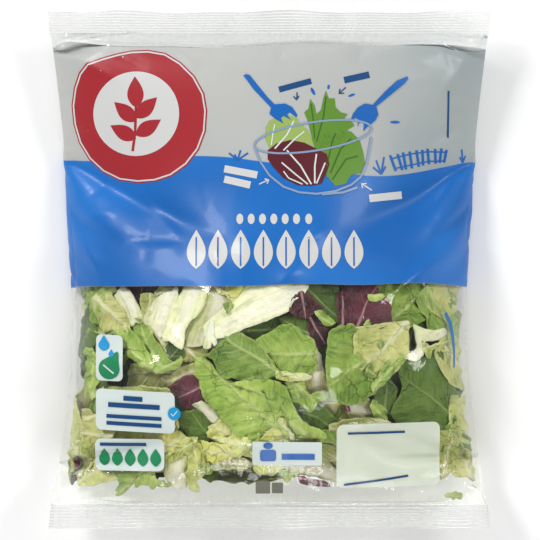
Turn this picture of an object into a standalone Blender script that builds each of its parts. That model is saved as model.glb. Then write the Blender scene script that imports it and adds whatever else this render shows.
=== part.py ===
"""A sealed pillow bag of salad leaves, lying on its back with the printed front up.

The bag is a flat tube of film, welded across both ends and puffed out by leaves and air.
It is one closed solid: X runs across the bag, +Y towards the top weld, +Z up.
The origin is at the middle of its bounding box's underside.
"""

import math

import bpy
import numpy as np

# Driving dimensions, in metres
FLAT_WIDTH = 0.257  # across the welded ends, where the tube stays flat
WAIST_WIDTH = 0.225  # across the filled middle, which draws the sides in
LENGTH = 0.300  # from the bottom weld's edge to the top weld's edge
TOP_WELD = 0.0116  # depth of the crimped band at the top
BOTTOM_WELD = 0.0139  # depth of the crimped band at the bottom
WELD_LEVEL = 0.026  # height of the welded ends above the floor
SIDE_LEVEL = 0.037  # height of the widest line, at the filled middle
CROWN = 0.046  # front's rise above the widest line
UNDERSIDE = 0.050  # drop that the floor cuts short, which flattens the back
WAIST_PLACE = -0.020  # Y of the narrowest place
HALF_FILM = 0.0006  # half the thickness of the two welded films

# Folds, in metres
CRIMP_RIDGES = 4  # crosswise ridges in each weld
CRIMP_DEPTH = 0.0005
PUCKERS = 6.3  # gathers across each weld, running into the body
PUCKER_DEPTH = 0.0042
PUCKER_REACH = 0.030  # how far a gather runs before it fades
SIDE_DENTS = 6  # buckles along each side
SIDE_DENT_DEPTH = 0.0026
SIDE_FOLD_DEPTH = 0.0035  # how far a buckle cuts into the front
SIDE_FOLD_REACH = 0.40  # how far towards the middle it runs, as a share of the half width
CREASE_DEPTH = 0.0044  # diagonal creases from the corners
CREASE_WIDTH = 0.0080
LEAF_LUMP = 0.0024  # swell of the leaves under the lower front
EDGE_WAVE = 0.0011  # ripple of the cut ends, in Y
WELD_WAVE = 0.0026  # ripple of the welded ends, in Z

# Mesh
COLUMNS = 40  # strips across the bag
BODY_ROWS = 32  # strips between the welds
CLEAR_FILM = (0.78, 0.84, 0.76, 1.0)


def triangle_wave(turns):
    """A wave with straight flanks and sharp folds, from -1 to 1, once per turn."""
    return 4.0 * abs(turns - math.floor(turns + 0.5)) - 1.0


def body_share(y):
    """0 at the bottom weld's inner edge, 1 at the top weld's, and held there in the welds."""
    low = -LENGTH / 2 + BOTTOM_WELD
    high = LENGTH / 2 - TOP_WELD
    return min(max((y - low) / (high - low), 0.0), 1.0)


def swell(y):
    """How full the bag is: 0 at the welds, 1 in the leafy lower half."""
    skewed = body_share(y) ** 0.86
    return (1.0 - abs(2.0 * skewed - 1.0) ** 2.4) ** 0.68


def half_width(y, side):
    """Half the bag's width, narrow at the waist and flaring to the welds, with buckled sides."""
    reach = LENGTH / 2 - WAIST_PLACE if y > WAIST_PLACE else LENGTH / 2 + WAIST_PLACE
    flare = min(abs(y - WAIST_PLACE) / reach, 1.0) ** 1.3
    width = WAIST_WIDTH + (FLAT_WIDTH - WAIST_WIDTH) * flare
    dent = triangle_wave(SIDE_DENTS * body_share(y) + 0.23 * side)
    return width / 2 - SIDE_DENT_DEPTH * max(dent, 0.0) * swell(y) ** 2


def seam_level(x, y):
    """Height of the widest line, with the ripple of the welded ends."""
    filled = swell(y)
    ripple = math.sin(2 * math.pi * (2.2 * x / FLAT_WIDTH + 0.15 * math.copysign(1.0, y)))
    return WELD_LEVEL + (SIDE_LEVEL - WELD_LEVEL) * filled + WELD_WAVE * ripple * (1.0 - filled)


def cross_section(across, filled):
    """A lens near the welds that rounds out to an ellipse where the bag is full."""
    return (1.0 - across * across) ** (0.90 - 0.40 * filled)


def corner_creases(x, y):
    """Grooves that run from the four corners towards the middle of the front and back."""
    depth = 0.0
    for side in (-1, 1):
        for end, lean in ((1, 0.030), (-1, 0.055)):
            start = np.array((side * FLAT_WIDTH * 0.46, end * LENGTH * 0.43))
            finish = np.array((side * lean, end * 0.018))
            run = finish - start
            along = float(np.dot((x, y) - start, run) / np.dot(run, run))
            if 0.0 < along < 1.0:
                gap = float(np.linalg.norm((x, y) - start - along * run))
                fade = math.sin(math.pi * along ** 0.6)
                depth += fade * math.exp(-((gap / CREASE_WIDTH) ** 2))
    return CREASE_DEPTH * depth


def gathers(x, y):
    """Sharp gathers that leave each weld and fade into the body."""
    to_weld = min(LENGTH / 2 - TOP_WELD - y, y + LENGTH / 2 - BOTTOM_WELD)
    if to_weld <= 0.0:
        return 0.0
    fade = (to_weld / PUCKER_REACH) * math.exp(1.0 - to_weld / PUCKER_REACH)
    end = math.copysign(1.0, y)
    gather = triangle_wave(PUCKERS * x / FLAT_WIDTH + 0.2 * end)
    gather += 0.5 * triangle_wave(1.63 * PUCKERS * x / FLAT_WIDTH - 0.1 * end)
    return PUCKER_DEPTH * fade * gather


def side_folds(across, y):
    """Folds that run from each side's buckles a short way across the front and the back."""
    side = math.copysign(1.0, across)
    reach = max(1.0 - (1.0 - abs(across)) / SIDE_FOLD_REACH, 0.0)
    dent = triangle_wave(SIDE_DENTS * body_share(y) + 0.23 * side + 0.3 * (1.0 - abs(across)))
    return SIDE_FOLD_DEPTH * math.sin(math.pi * reach) * max(dent, 0.0) * swell(y)


def leaf_lumps(x, y):
    """Low swells of the leaves that press on the film, strongest in the lower half."""
    lump = math.sin(61 * x + 1.1) * math.sin(53 * y + 0.4) + 0.6 * math.sin(104 * x - 71 * y)
    return LEAF_LUMP * lump * (1.0 - 0.6 * body_share(y))


def crimp(row_share):
    """Crosswise ridges of a weld, which both films follow together."""
    return CRIMP_DEPTH * triangle_wave(CRIMP_RIDGES * row_share)


def row_places():
    """Y of every row, its place in a weld (0 to 1) or None, from the bottom edge to the top."""
    low, high = -LENGTH / 2, LENGTH / 2
    weld_rows = 2 * CRIMP_RIDGES
    rows = [(low + BOTTOM_WELD * i / weld_rows, i / weld_rows) for i in range(weld_rows)]
    for i in range(BODY_ROWS + 1):
        share = (1.0 - math.cos(math.pi * i / BODY_ROWS)) / 2
        share = 0.55 * share + 0.45 * i / BODY_ROWS  # closer rows where the film leaves the welds
        rows.append((low + BOTTOM_WELD + (LENGTH - TOP_WELD - BOTTOM_WELD) * share, None))
    rows += [(high - TOP_WELD * (1 - i / weld_rows), i / weld_rows) for i in range(1, weld_rows + 1)]
    return rows


def film_point(across, y, weld_share, front):
    """A point of the front or the back film, for a place across the bag from -1 to 1."""
    x = across * half_width(y, math.copysign(1.0, across))
    filled = swell(y)
    level = seam_level(x, y)
    edge_ripple = EDGE_WAVE * math.sin(2 * math.pi * 3.1 * x / FLAT_WIDTH) * (abs(2 * y / LENGTH) ** 8)
    if weld_share is not None:
        level += crimp(weld_share)
        return (x, y + edge_ripple, level + (HALF_FILM if front else -HALF_FILM))
    section = cross_section(across, filled)
    relief = (gathers(x, y) - corner_creases(x, y)) * section - side_folds(across, y)
    if front:
        rise = CROWN * filled * section + relief + leaf_lumps(x, y) * section * filled
        return (x, y + edge_ripple, level + HALF_FILM + max(rise, 0.0))
    drop = UNDERSIDE * filled * section + relief
    return (x, y + edge_ripple, max(level - HALF_FILM - max(drop, 0.0), 0.0))


def bag_mesh():
    """The front and back films as two grids, joined by a narrow wall all the way round."""
    rows = row_places()
    columns = [math.sin(math.pi / 2 * (2 * i / COLUMNS - 1)) for i in range(COLUMNS + 1)]
    points = [
        film_point(across, y, weld_share, front)
        for front in (True, False)
        for y, weld_share in rows
        for across in columns
    ]
    wide, high = len(columns), len(rows)
    back = wide * high  # where the back film's points start

    faces = []
    for j in range(high - 1):
        for i in range(COLUMNS):
            a = j * wide + i
            faces.append((a, a + 1, a + wide + 1, a + wide))
            faces.append((back + a, back + a + wide, back + a + wide + 1, back + a + 1))
    rim = [i for i in range(wide)]
    rim += [j * wide + COLUMNS for j in range(1, high)]
    rim += [(high - 1) * wide + i for i in range(COLUMNS - 1, -1, -1)]
    rim += [j * wide for j in range(high - 2, 0, -1)]
    for here, following in zip(rim, rim[1:] + rim[:1]):
        faces.append((here, back + here, back + following, following))

    places = np.array(points)
    places[:, :2] -= (places[:, :2].min(axis=0) + places[:, :2].max(axis=0)) / 2
    mesh = bpy.data.meshes.new("bag")
    mesh.from_pydata(places.tolist(), [], faces)
    mesh.update()
    return mesh


def film_material():
    material = bpy.data.materials.new("clear_film")
    material.use_nodes = True
    shader = material.node_tree.nodes["Principled BSDF"]
    shader.inputs["Base Color"].default_value = CLEAR_FILM
    shader.inputs["Roughness"].default_value = 0.22
    shader.inputs["Metallic"].default_value = 0.0
    return material


def main():
    for old in list(bpy.data.objects):
        bpy.data.objects.remove(old)
    bag = bpy.data.objects.new("bag", bag_mesh())
    bpy.context.scene.collection.objects.link(bag)
    bag.data.materials.append(film_material())
    bag.data.shade_smooth()
    bag.data.set_sharp_from_angle(angle=math.radians(35))


main()
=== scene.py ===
import math

import bpy
import numpy as np
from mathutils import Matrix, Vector
from mathutils.bvhtree import BVHTree
from mathutils.geometry import delaunay_2d_cdt


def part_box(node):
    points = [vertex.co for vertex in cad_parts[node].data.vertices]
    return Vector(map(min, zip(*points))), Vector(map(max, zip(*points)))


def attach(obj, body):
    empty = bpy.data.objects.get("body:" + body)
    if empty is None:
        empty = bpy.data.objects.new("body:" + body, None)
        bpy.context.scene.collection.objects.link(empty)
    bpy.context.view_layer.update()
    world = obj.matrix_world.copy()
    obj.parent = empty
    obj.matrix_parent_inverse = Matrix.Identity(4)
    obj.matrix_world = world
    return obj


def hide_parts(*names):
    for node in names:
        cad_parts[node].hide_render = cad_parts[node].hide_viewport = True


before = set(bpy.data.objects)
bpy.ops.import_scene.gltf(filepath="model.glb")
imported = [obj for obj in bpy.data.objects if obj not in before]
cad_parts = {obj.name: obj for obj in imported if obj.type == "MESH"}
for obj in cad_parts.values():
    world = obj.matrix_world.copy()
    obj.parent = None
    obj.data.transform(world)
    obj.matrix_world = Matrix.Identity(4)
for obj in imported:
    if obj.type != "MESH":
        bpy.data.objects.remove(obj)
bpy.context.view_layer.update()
bagLow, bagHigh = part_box("bag")
bagWidth = bagHigh.x - bagLow.x
bagLength = bagHigh.y - bagLow.y
mm = 0.001


# scene tools

def deselectAll():
    bpy.ops.object.select_all(action="DESELECT")


def lookAt(thing, target):
    thing.rotation_euler = (Vector(target) - thing.location).to_track_quat("-Z", "Y").to_euler()


def gridPiece(name, points, facingUp=True):
    # a grid laid over rows and columns of points
    rows, cols = points.shape[:2]
    deselectAll()
    bpy.ops.mesh.primitive_grid_add(x_subdivisions=cols - 1, y_subdivisions=rows - 1, size=2)
    piece = bpy.context.object
    piece.name = name
    piece.data.name = name
    flat = np.empty(rows * cols * 3)
    piece.data.vertices.foreach_get("co", flat)
    flat = flat.reshape(-1, 3)
    col = np.rint((flat[:, 0] + 1) / 2 * (cols - 1)).astype(int)
    row = np.rint((flat[:, 1] + 1) / 2 * (rows - 1)).astype(int)
    piece.data.vertices.foreach_set("co", points[row, col].ravel())
    if not facingUp:
        piece.data.flip_normals()
    piece.data.shade_smooth()
    piece.data.update()
    return piece, row, col


def writeUv(piece, name, values):
    # one UV map, given a value for every vertex
    layer = piece.data.uv_layers.get(name) or piece.data.uv_layers.new(name=name)
    corner = np.empty(len(piece.data.loops), int)
    piece.data.loops.foreach_get("vertex_index", corner)
    layer.data.foreach_set("uv", values[corner].ravel())


def join(name, pieces):
    deselectAll()
    for piece in pieces:
        piece.select_set(True)
    bpy.context.view_layer.objects.active = pieces[0]
    bpy.ops.object.join()
    joined = bpy.context.object
    joined.name = name
    joined.data.name = name
    return joined


# shader tools

class Wire:
    # a socket that takes plain arithmetic
    def __init__(self, net, socket):
        self.net = net
        self.socket = socket

    def maths(self, operation, *others):
        return self.net.node("ShaderNodeMath", {"operation": operation}, dict(enumerate((self,) + others)))

    def __add__(self, other):
        return self.maths("ADD", other)

    def __sub__(self, other):
        return self.maths("SUBTRACT", other)

    def __rsub__(self, other):
        return self.net.node("ShaderNodeMath", {"operation": "SUBTRACT"}, {0: other, 1: self})

    def __mul__(self, other):
        return self.maths("MULTIPLY", other)

    def __truediv__(self, other):
        return self.maths("DIVIDE", other)

    def __pow__(self, other):
        return self.maths("POWER", other)

    __radd__ = __add__
    __rmul__ = __mul__

    def sine(self):
        return self.maths("SINE")

    def size(self):
        return self.maths("ABSOLUTE")

    def least(self, other):
        return self.maths("MINIMUM", other)

    def most(self, other):
        return self.maths("MAXIMUM", other)

    def step(self, start, finish):
        # 0 at start, 1 at finish, with soft shoulders
        return self.net.node(
            "ShaderNodeMapRange", {"interpolation_type": "SMOOTHSTEP"},
            {"Value": self, "From Min": start, "From Max": finish},
        )


class Finish:
    # one material and the way to add nodes to it
    def __init__(self, name):
        self.material = bpy.data.materials.new(name)
        self.material.use_nodes = True
        self.tree = self.material.node_tree
        self.tree.nodes.clear()

    def node(self, kind, settings=None, inputs=None, output=0):
        made = self.tree.nodes.new(kind)
        for key, value in (settings or {}).items():
            if key == "stops":
                ramp = made.color_ramp
                while len(ramp.elements) < len(value):
                    ramp.elements.new(1.0)
                for element, (place, colour) in zip(ramp.elements, value):
                    element.position = place
                    element.color = (*colour, 1.0)
            else:
                setattr(made, key, value)
        for key, value in (inputs or {}).items():
            if isinstance(value, Wire):
                self.tree.links.new(value.socket, made.inputs[key])
            elif value is not None:
                if isinstance(value, tuple) and len(value) == 3 and made.inputs[key].type == "RGBA":
                    value = (*value, 1.0)
                made.inputs[key].default_value = value
        return Wire(self, made.outputs[output]) if made.outputs else None

    def blend(self, factor, first, second):
        return self.node("ShaderNodeMix", {"data_type": "RGBA"}, {0: factor, 6: first, 7: second}, 2)

    def place(self):
        return self.node("ShaderNodeTexCoord", output=3)

    def parts(self, vector):
        split = self.tree.nodes.new("ShaderNodeSeparateXYZ")
        self.tree.links.new(vector.socket, split.inputs[0])
        return [Wire(self, socket) for socket in split.outputs]

    def noise(self, vector, scale, detail=2.0, roughness=0.5):
        return self.node(
            "ShaderNodeTexNoise", None,
            {"Vector": vector, "Scale": scale, "Detail": detail, "Roughness": roughness},
        )

    def noised(self, vector, scale):
        return self.node("ShaderNodeTexNoise", None, {"Vector": vector, "Scale": scale, "Detail": 1.0}, 1)

    def stretched(self, vector, scale, turn=0.0):
        return self.node(
            "ShaderNodeMapping", None, {"Vector": vector, "Scale": scale, "Rotation": (0.0, 0.0, turn)}
        )

    def bump(self, height, strength, distance, normal=None):
        return self.node(
            "ShaderNodeBump", None,
            {"Height": height, "Strength": strength, "Distance": distance, "Normal": normal},
        )

    def skin(self, **inputs):
        sockets = {key.replace("_", " "): value for key, value in inputs.items()}
        return self.node("ShaderNodeBsdfPrincipled", None, sockets)

    def done(self, shader):
        self.node("ShaderNodeOutputMaterial", None, {0: shader})
        return self.material


# the film: a flat tube, blown up over the leaves

filmTube = {
    "flatWidth": bagWidth,
    "flatLength": bagLength * 1.072,
    "columns": 32,          # doubled twice
    "rows": 40,
    "bottomWeldRows": 7,    # of the finest rows
    "topWeldRows": 6,
    "weldLevel": 0.027,
    "air": 0.0031,          # cubic metres
    "waist": bagWidth * 0.875,
    "waistAt": -0.020,
    "clearance": 0.0006,
    "stages": (             # steps, rounds, push, bending, roughness of the start
        (110, 12, 0.0040, 0.100, 0.0004),
        (80, 14, 0.0020, 0.006, 0.0005),
        (22, 12, 0.0010, 0.010, 0.0002),
    ),
}

leafSwell = {
    "crown": 0.077,
    "halfWidth": 0.117,
    "middle": -0.036,
    "halfLength": 0.099,
    "ridges": 34,
    "seed": 21,
}


def makeRidges():
    # leaf edges and ribs that press on the film from inside
    random = np.random.default_rng(leafSwell["seed"])
    ridges = []
    for _ in range(leafSwell["ridges"]):
        x = random.uniform(-0.095, 0.095)
        y = random.uniform(-0.115, 0.030)
        turn = random.uniform(0, math.pi)
        ridges.append((x, y, turn, random.uniform(0.010, 0.030), random.uniform(0.004, 0.009),
                       random.uniform(0.003, 0.0085)))
    return ridges


def swellHeight(x, y, ridges):
    across = np.clip(1 - (x / leafSwell["halfWidth"]) ** 2, 0, 1) ** 0.5
    along = np.clip(1 - (abs(y - leafSwell["middle"]) / leafSwell["halfLength"]) ** 2.4, 0, 1) ** 0.62
    height = np.zeros_like(x)
    for cx, cy, turn, reach, width, rise in ridges:
        a = (x - cx) * math.cos(turn) + (y - cy) * math.sin(turn)
        b = (y - cy) * math.cos(turn) - (x - cx) * math.sin(turn)
        height = np.maximum(height, rise * np.exp(-((a / reach) ** 2) - (b / width) ** 2))
    return leafSwell["crown"] * across * along + height - 0.006


def resample(points, rowAt, colAt):
    # smooth values between the rows and columns of layer, row, column, xyz points
    def along(values, at, axis):
        count = values.shape[axis]
        base = np.clip(np.floor(at).astype(int), 0, count - 2)
        shape = [1] * values.ndim
        shape[axis] = len(at)
        t = (at - base).reshape(shape)
        first = (base == 0).reshape(shape)
        last = (base == count - 2).reshape(shape)
        p = [np.take(values, np.clip(base + k, 0, count - 1), axis=axis) for k in (-1, 0, 1, 2)]
        p[0] = np.where(first, 2 * p[1] - p[2], p[0])
        p[3] = np.where(last, 2 * p[2] - p[1], p[3])
        cubic = -p[0] + 3 * p[1] - 3 * p[2] + p[3]
        square = 2 * p[0] - 5 * p[1] + 4 * p[2] - p[3]
        return 0.5 * (2 * p[1] + (p[2] - p[0]) * t + square * t ** 2 + cubic * t ** 3)
    return along(along(points, rowAt, 1), colAt, 2)


def faceNormals(points):
    # area-weighted outward normals at every point of both layers
    across = np.gradient(points, axis=2)
    along = np.gradient(points, axis=1)
    normal = np.cross(across, along)
    normal[1] *= -1
    return normal


def holdLength(points, here, there, rest, pull, push):
    start, finish = points[here], points[there]
    gap = finish - start
    length = np.sqrt((gap * gap).sum(-1, keepdims=True)) + 1e-12
    share = (length - rest) / length
    share = np.where(share > 0, pull, push) * share * 0.5
    gap *= share
    points[here] += gap
    points[there] -= gap


def edgeSets(cols, rows, dx, dy):
    # edges and diagonals in sets whose ends never meet, so that a whole set moves at once
    everything = slice(None)
    diagonal = math.hypot(dx, dy)
    sets = []
    for k in (0, 1):
        left, right = slice(k, cols, 2), slice(k + 1, cols + 1, 2)
        low, high = slice(k, rows, 2), slice(k + 1, rows + 1, 2)
        sets.append(((everything, everything, left), (everything, everything, right), dx, 1.0))
        sets.append(((everything, low), (everything, high), dy, 1.0))
        bottom, top = slice(0, rows), slice(1, rows + 1)
        sets.append(((everything, bottom, left), (everything, top, right), diagonal, 0.5))
        sets.append(((everything, top, left), (everything, bottom, right), diagonal, 0.5))
    return sets


def bendSets(cols, rows, dx, dy):
    everything = slice(None)
    sets = []
    for half in (0, 1):
        i = np.arange(cols - 1)
        i = i[(i // 2) % 2 == half]
        j = np.arange(rows - 1)
        j = j[(j // 2) % 2 == half]
        sets.append(((everything, everything, i), (everything, everything, i + 2), 2 * dx))
        sets.append(((everything, j), (everything, j + 2), 2 * dy))
    return sets


def halfWidthAt(y):
    # half the width of the filled bag, from the waist out to the welds
    waistAt, half = filmTube["waistAt"], bagLength / 2
    flare = np.clip(abs(y - waistAt) / np.where(y > waistAt, half - waistAt, half + waistAt), 0, 1) ** 1.3
    return (filmTube["waist"] + (filmTube["flatWidth"] - filmTube["waist"]) * flare) / 2


def settleFilm(points, stage, ridges):
    # air pushes the film out, and the film keeps its flat lengths
    steps, rounds, push, bending, _ = stage
    rows, cols = points.shape[1] - 1, points.shape[2] - 1
    width, length = filmTube["flatWidth"], filmTube["flatLength"]
    dx, dy = width / cols, length / rows
    fine = 4 * filmTube["rows"] / rows
    lowWeld = round(filmTube["bottomWeldRows"] / fine)
    highWeld = rows - round(filmTube["topWeldRows"] / fine)
    flatX = np.linspace(-width / 2, width / 2, cols + 1)
    flatY = np.linspace(-length / 2, length / 2, rows + 1)
    shared = np.zeros((rows + 1, cols + 1), bool)
    shared[:lowWeld + 1] = shared[highWeld:] = True
    shared[:, 0] = shared[:, -1] = True
    free = np.ones((1, rows + 1, 1, 1))
    free[:, :lowWeld + 1] = free[:, highWeld:] = 0
    welds = (slice(0, lowWeld + 1), slice(highWeld, rows + 1))
    weight = 0.07 * push * np.clip(1 - abs((flatY + 0.02) / (length / 2 - 0.012)) ** 3, 0, 1)[None, :, None]
    edges, bends = edgeSets(cols, rows, dx, dy), bendSets(cols, rows, dx, dy)
    speed = np.zeros_like(points)
    for _ in range(steps):
        normal = faceNormals(points)
        volume = (points * normal).sum() / 3
        before = points.copy()
        points += 0.6 * speed
        points += normal / (dx * dy) * free * push * min(max(1 - volume / filmTube["air"], -0.3), 1)
        points[..., 2] -= weight
        held = swellHeight(points[0, ..., 0], points[0, ..., 1], ridges)
        for _ in range(rounds):
            for here, there, rest, firm in edges:
                holdLength(points, here, there, rest, firm, firm)
            for here, there, rest in bends:
                holdLength(points, here, there, rest, bending, bending)
            for weld in welds:
                row = points[:, weld]
                wave = 0.0016 * np.sin(flatX * 42 + 0.7)
                row[..., 0] += 0.15 * (flatX - row[..., 0])
                row[..., 1] += 0.15 * (row[..., 1].mean(axis=2, keepdims=True) - row[..., 1])
                row[..., 2] += 0.10 * (filmTube["weldLevel"] + wave - row[..., 2])
            for side, edge in ((-1, points[:, :, 0]), (1, points[:, :, -1])):
                edge[..., 0] += 0.3 * (side * halfWidthAt(edge[..., 1]) - edge[..., 0])
            middle = (points[0] + points[1]) / 2
            points[0][shared] = middle[shared]
            points[1][shared] = middle[shared]
            np.maximum(points[..., 2], filmTube["clearance"], out=points[..., 2])
            np.maximum(points[0, ..., 2], held, out=points[0, ..., 2])
        speed = points - before
    return volume


def blowUpFilm():
    random = np.random.default_rng(5)
    ridges = makeRidges()
    cols, rows = filmTube["columns"], filmTube["rows"]
    width, length = filmTube["flatWidth"], filmTube["flatLength"]
    x, y = np.meshgrid(
        np.linspace(-width / 2, width / 2, cols + 1), np.linspace(-length / 2, length / 2, rows + 1))
    puff = 0.01 * (1 - (2 * x / width) ** 2) * (1 - (2 * y / length) ** 2)
    level = filmTube["weldLevel"]
    points = np.stack([np.stack([x, y, level + puff], -1), np.stack([x, y, level - puff], -1)])
    for number, stage in enumerate(filmTube["stages"]):
        if number:
            cols, rows = 2 * cols, 2 * rows
            points = resample(points, np.linspace(0, rows / 2, rows + 1), np.linspace(0, cols / 2, cols + 1))
        points += random.normal(0, stage[4], (1,) + points.shape[1:])
        volume = settleFilm(points, stage, ridges)
        print("film", cols, "by", rows, "holds", round(volume * 1000, 2), "litres")
    return points


film = blowUpFilm()
film[..., :2] -= (film[..., :2].min(axis=(0, 1, 2)) + film[..., :2].max(axis=(0, 1, 2))) / 2
print("film box", film.min(axis=(0, 1, 2)).round(4), film.max(axis=(0, 1, 2)).round(4))


# creases that the solver's grid is too coarse for, in mm as the bag lies: from, to, depth, half width
creases = (
    (-78, 47, -49, 16, 1.5, 3.0), (-84, 18, -48, 16.5, -1.2, 2.6), (-82, 12, -50, 14, 0.9, 3.5),
    (-111, 22, -96, -8, 1.6, 2.6), (-110, 40, -92, 52, -1.2, 3.0), (-112, 30, -90, 34, 1.2, 3.0),
    (-70, 30, -72, 2, -0.8, 5.0), (-118, 96, -96, 70, 1.1, 3.2), (-40, 60, -34, 28, -0.6, 5.0),
    (108, 60, 96, 30, 1.3, 3.5), (112, 84, 92, 74, -1.2, 3.0), (106, -8, 90, -42, 1.5, 2.4),
    (100, -20, 84, -60, -1.0, 3.0), (60, 14, 78, -2, 0.7, 4.5), (-122, 128, -84, 108, 1.6, 3.4),
    (-104, 133, -70, 116, -1.4, 3.0), (-62, 136, -40, 118, 1.5, 3.0), (-36, 136, -18, 122, -1.4, 2.8),
    (-10, 137, 8, 118, 1.5, 2.8), (14, 137, 4, 120, -1.2, 2.6), (30, 136, 48, 121, 1.4, 3.0),
    (58, 137, 50, 119, -1.4, 2.6), (70, 136, 92, 118, 1.5, 3.2), (100, 137, 108, 112, -1.4, 3.0),
    (118, 130, 98, 100, 1.5, 3.4), (60, 104, 92, 112, 0.7, 4.0), (-30, 112, 20, 108, -0.5, 5.0),
    (-118, -126, -92, -104, 1.5, 3.0), (-98, -134, -80, -118, -1.2, 2.6), (-70, -135, -64, -118, 1.2, 2.6),
    (-44, -135, -50, -118, -1.1, 2.6), (-20, -135, -12, -117, 1.2, 2.6), (6, -135, -2, -119, -1.1, 2.4),
    (28, -135, 36, -117, 1.2, 2.6), (52, -135, 46, -119, -1.1, 2.4), (76, -135, 70, -117, 1.2, 2.8),
    (96, -134, 84, -120, -1.2, 2.6), (118, -126, 98, -106, 1.5, 3.0), (-104, -60, -84, -66, 1.0, 3.0),
    (-106, -84, -80, -78, -1.0, 3.2), (104, -70, 86, -62, 1.0, 3.0), (108, -96, 88, -88, -1.0, 3.2),
)


def crease(points):
    # sharp ridges and grooves, drawn on the front film as it lies
    x, y = points[..., 0] / mm, points[..., 1] / mm
    rise = np.zeros_like(x)
    for startX, startY, endX, endY, depth, width in creases:
        runX, runY = endX - startX, endY - startY
        along = ((x - startX) * runX + (y - startY) * runY) / (runX ** 2 + runY ** 2)
        gap = np.hypot(x - startX - along * runX, y - startY - along * runY)
        fade = np.sin(np.pi * np.clip(along, 0, 1)) ** 0.7
        rise += depth * fade * np.exp(-gap / width)
    moved = points.copy()
    moved[..., 2] += rise * mm
    return moved


film[0] = crease(film[0])
lowWeldEnd = filmTube["bottomWeldRows"]
highWeldStart = film.shape[1] - 1 - filmTube["topWeldRows"]
flatX, flatY = np.meshgrid(
    np.linspace(-filmTube["flatWidth"] / 2, filmTube["flatWidth"] / 2, film.shape[2]),
    np.linspace(-filmTube["flatLength"] / 2, filmTube["flatLength"] / 2, film.shape[1]),
)
flatPlace = np.stack([flatX, flatY], -1)


def filmSheet(name, layer):
    body = slice(lowWeldEnd, highWeldStart + 1)
    piece, row, col = gridPiece(name, film[layer, body], facingUp=layer == 0)
    writeUv(piece, "flat", flatPlace[body][row, col])
    return piece


filmFront = filmSheet("film_front", 0)
filmBack = filmSheet("film_back", 1)

weldCrimp = {"ridges": 8, "rowsPerRidge": 6, "height": 0.00028, "edgeRipple": 0.0007}


def weldStrip(name, firstRow, lastRow, outward):
    # the two films pressed together, with crosswise ridges
    count = weldCrimp["ridges"] * weldCrimp["rowsPerRidge"] + 1
    at = np.linspace(firstRow, lastRow, count)
    strip = resample(film[:1], at, np.arange(film.shape[2]))[0]
    flat = resample(flatPlace[None], at, np.arange(film.shape[2]))[0]
    ridge = np.cos(np.arange(count) / weldCrimp["rowsPerRidge"] * 2 * np.pi)
    strip[..., 2] += weldCrimp["height"] * ridge[:, None]
    away = np.linspace(0, 1, count) if outward > 0 else np.linspace(1, 0, count)
    ripple = np.sin(flat[..., 0] * 61 + 1.0) + 0.6 * np.sin(flat[..., 0] * 133)
    strip[..., 1] += outward * weldCrimp["edgeRipple"] * ripple * away[:, None] ** 3
    piece, row, col = gridPiece(name, strip)
    writeUv(piece, "flat", flat[row, col])
    return piece


weldBottom = weldStrip("weld_bottom", 0, lowWeldEnd, -1)
weldTop = weldStrip("weld_top", highWeldStart, film.shape[1] - 1, 1)
print("film sheets and welds made")


# the film seen from above, for what is printed on it or lies under it
topRows = film[0].reshape(-1, 3)
quads = [
    (a, a + 1, a + film.shape[2] + 1, a + film.shape[2])
    for j in range(film.shape[1] - 1)
    for a in range(j * film.shape[2], j * film.shape[2] + film.shape[2] - 1)
]
fromAbove = BVHTree.FromPolygons([Vector(p) for p in topRows], quads)


def flatOf(x, y):
    # where a place seen from above is on the flat tube
    gap = (film[0][..., 0] - x) ** 2 + (film[0][..., 1] - y) ** 2
    row, col = np.unravel_index(np.argmin(gap), gap.shape)
    return flatPlace[row, col]


# colours of the printed fields, from the shaded to the lit parts
fieldInk = {
    "white": ((0.33, 0.375, 0.38), (0.47, 0.475, 0.455)),
    "blue": ((0.003, 0.115, 0.420), (0.008, 0.165, 0.560)),
}


def crinkle(finish, place):
    # the faint relief of thin stiff film, as a height
    small = finish.noise(place, 70.0, 3.0, 0.55)
    facets = finish.node(
        "ShaderNodeTexVoronoi", {"feature": "DISTANCE_TO_EDGE"},
        {"Vector": finish.stretched(place, (1.0, 0.6, 1.0), 0.5), "Scale": 34.0},
    )
    return small * 0.5 + facets.step(0.0, 0.35) * 0.5


def fieldHeight(u, level, waves):
    # the level of a printed edge across the bag: rise, middle and width of each swell
    edge = level
    for rise, middle, width in waves:
        offset = (u - middle) / width
        edge = edge + (offset * offset * -1.0).maths("EXPONENT") * rise
    return edge


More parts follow.
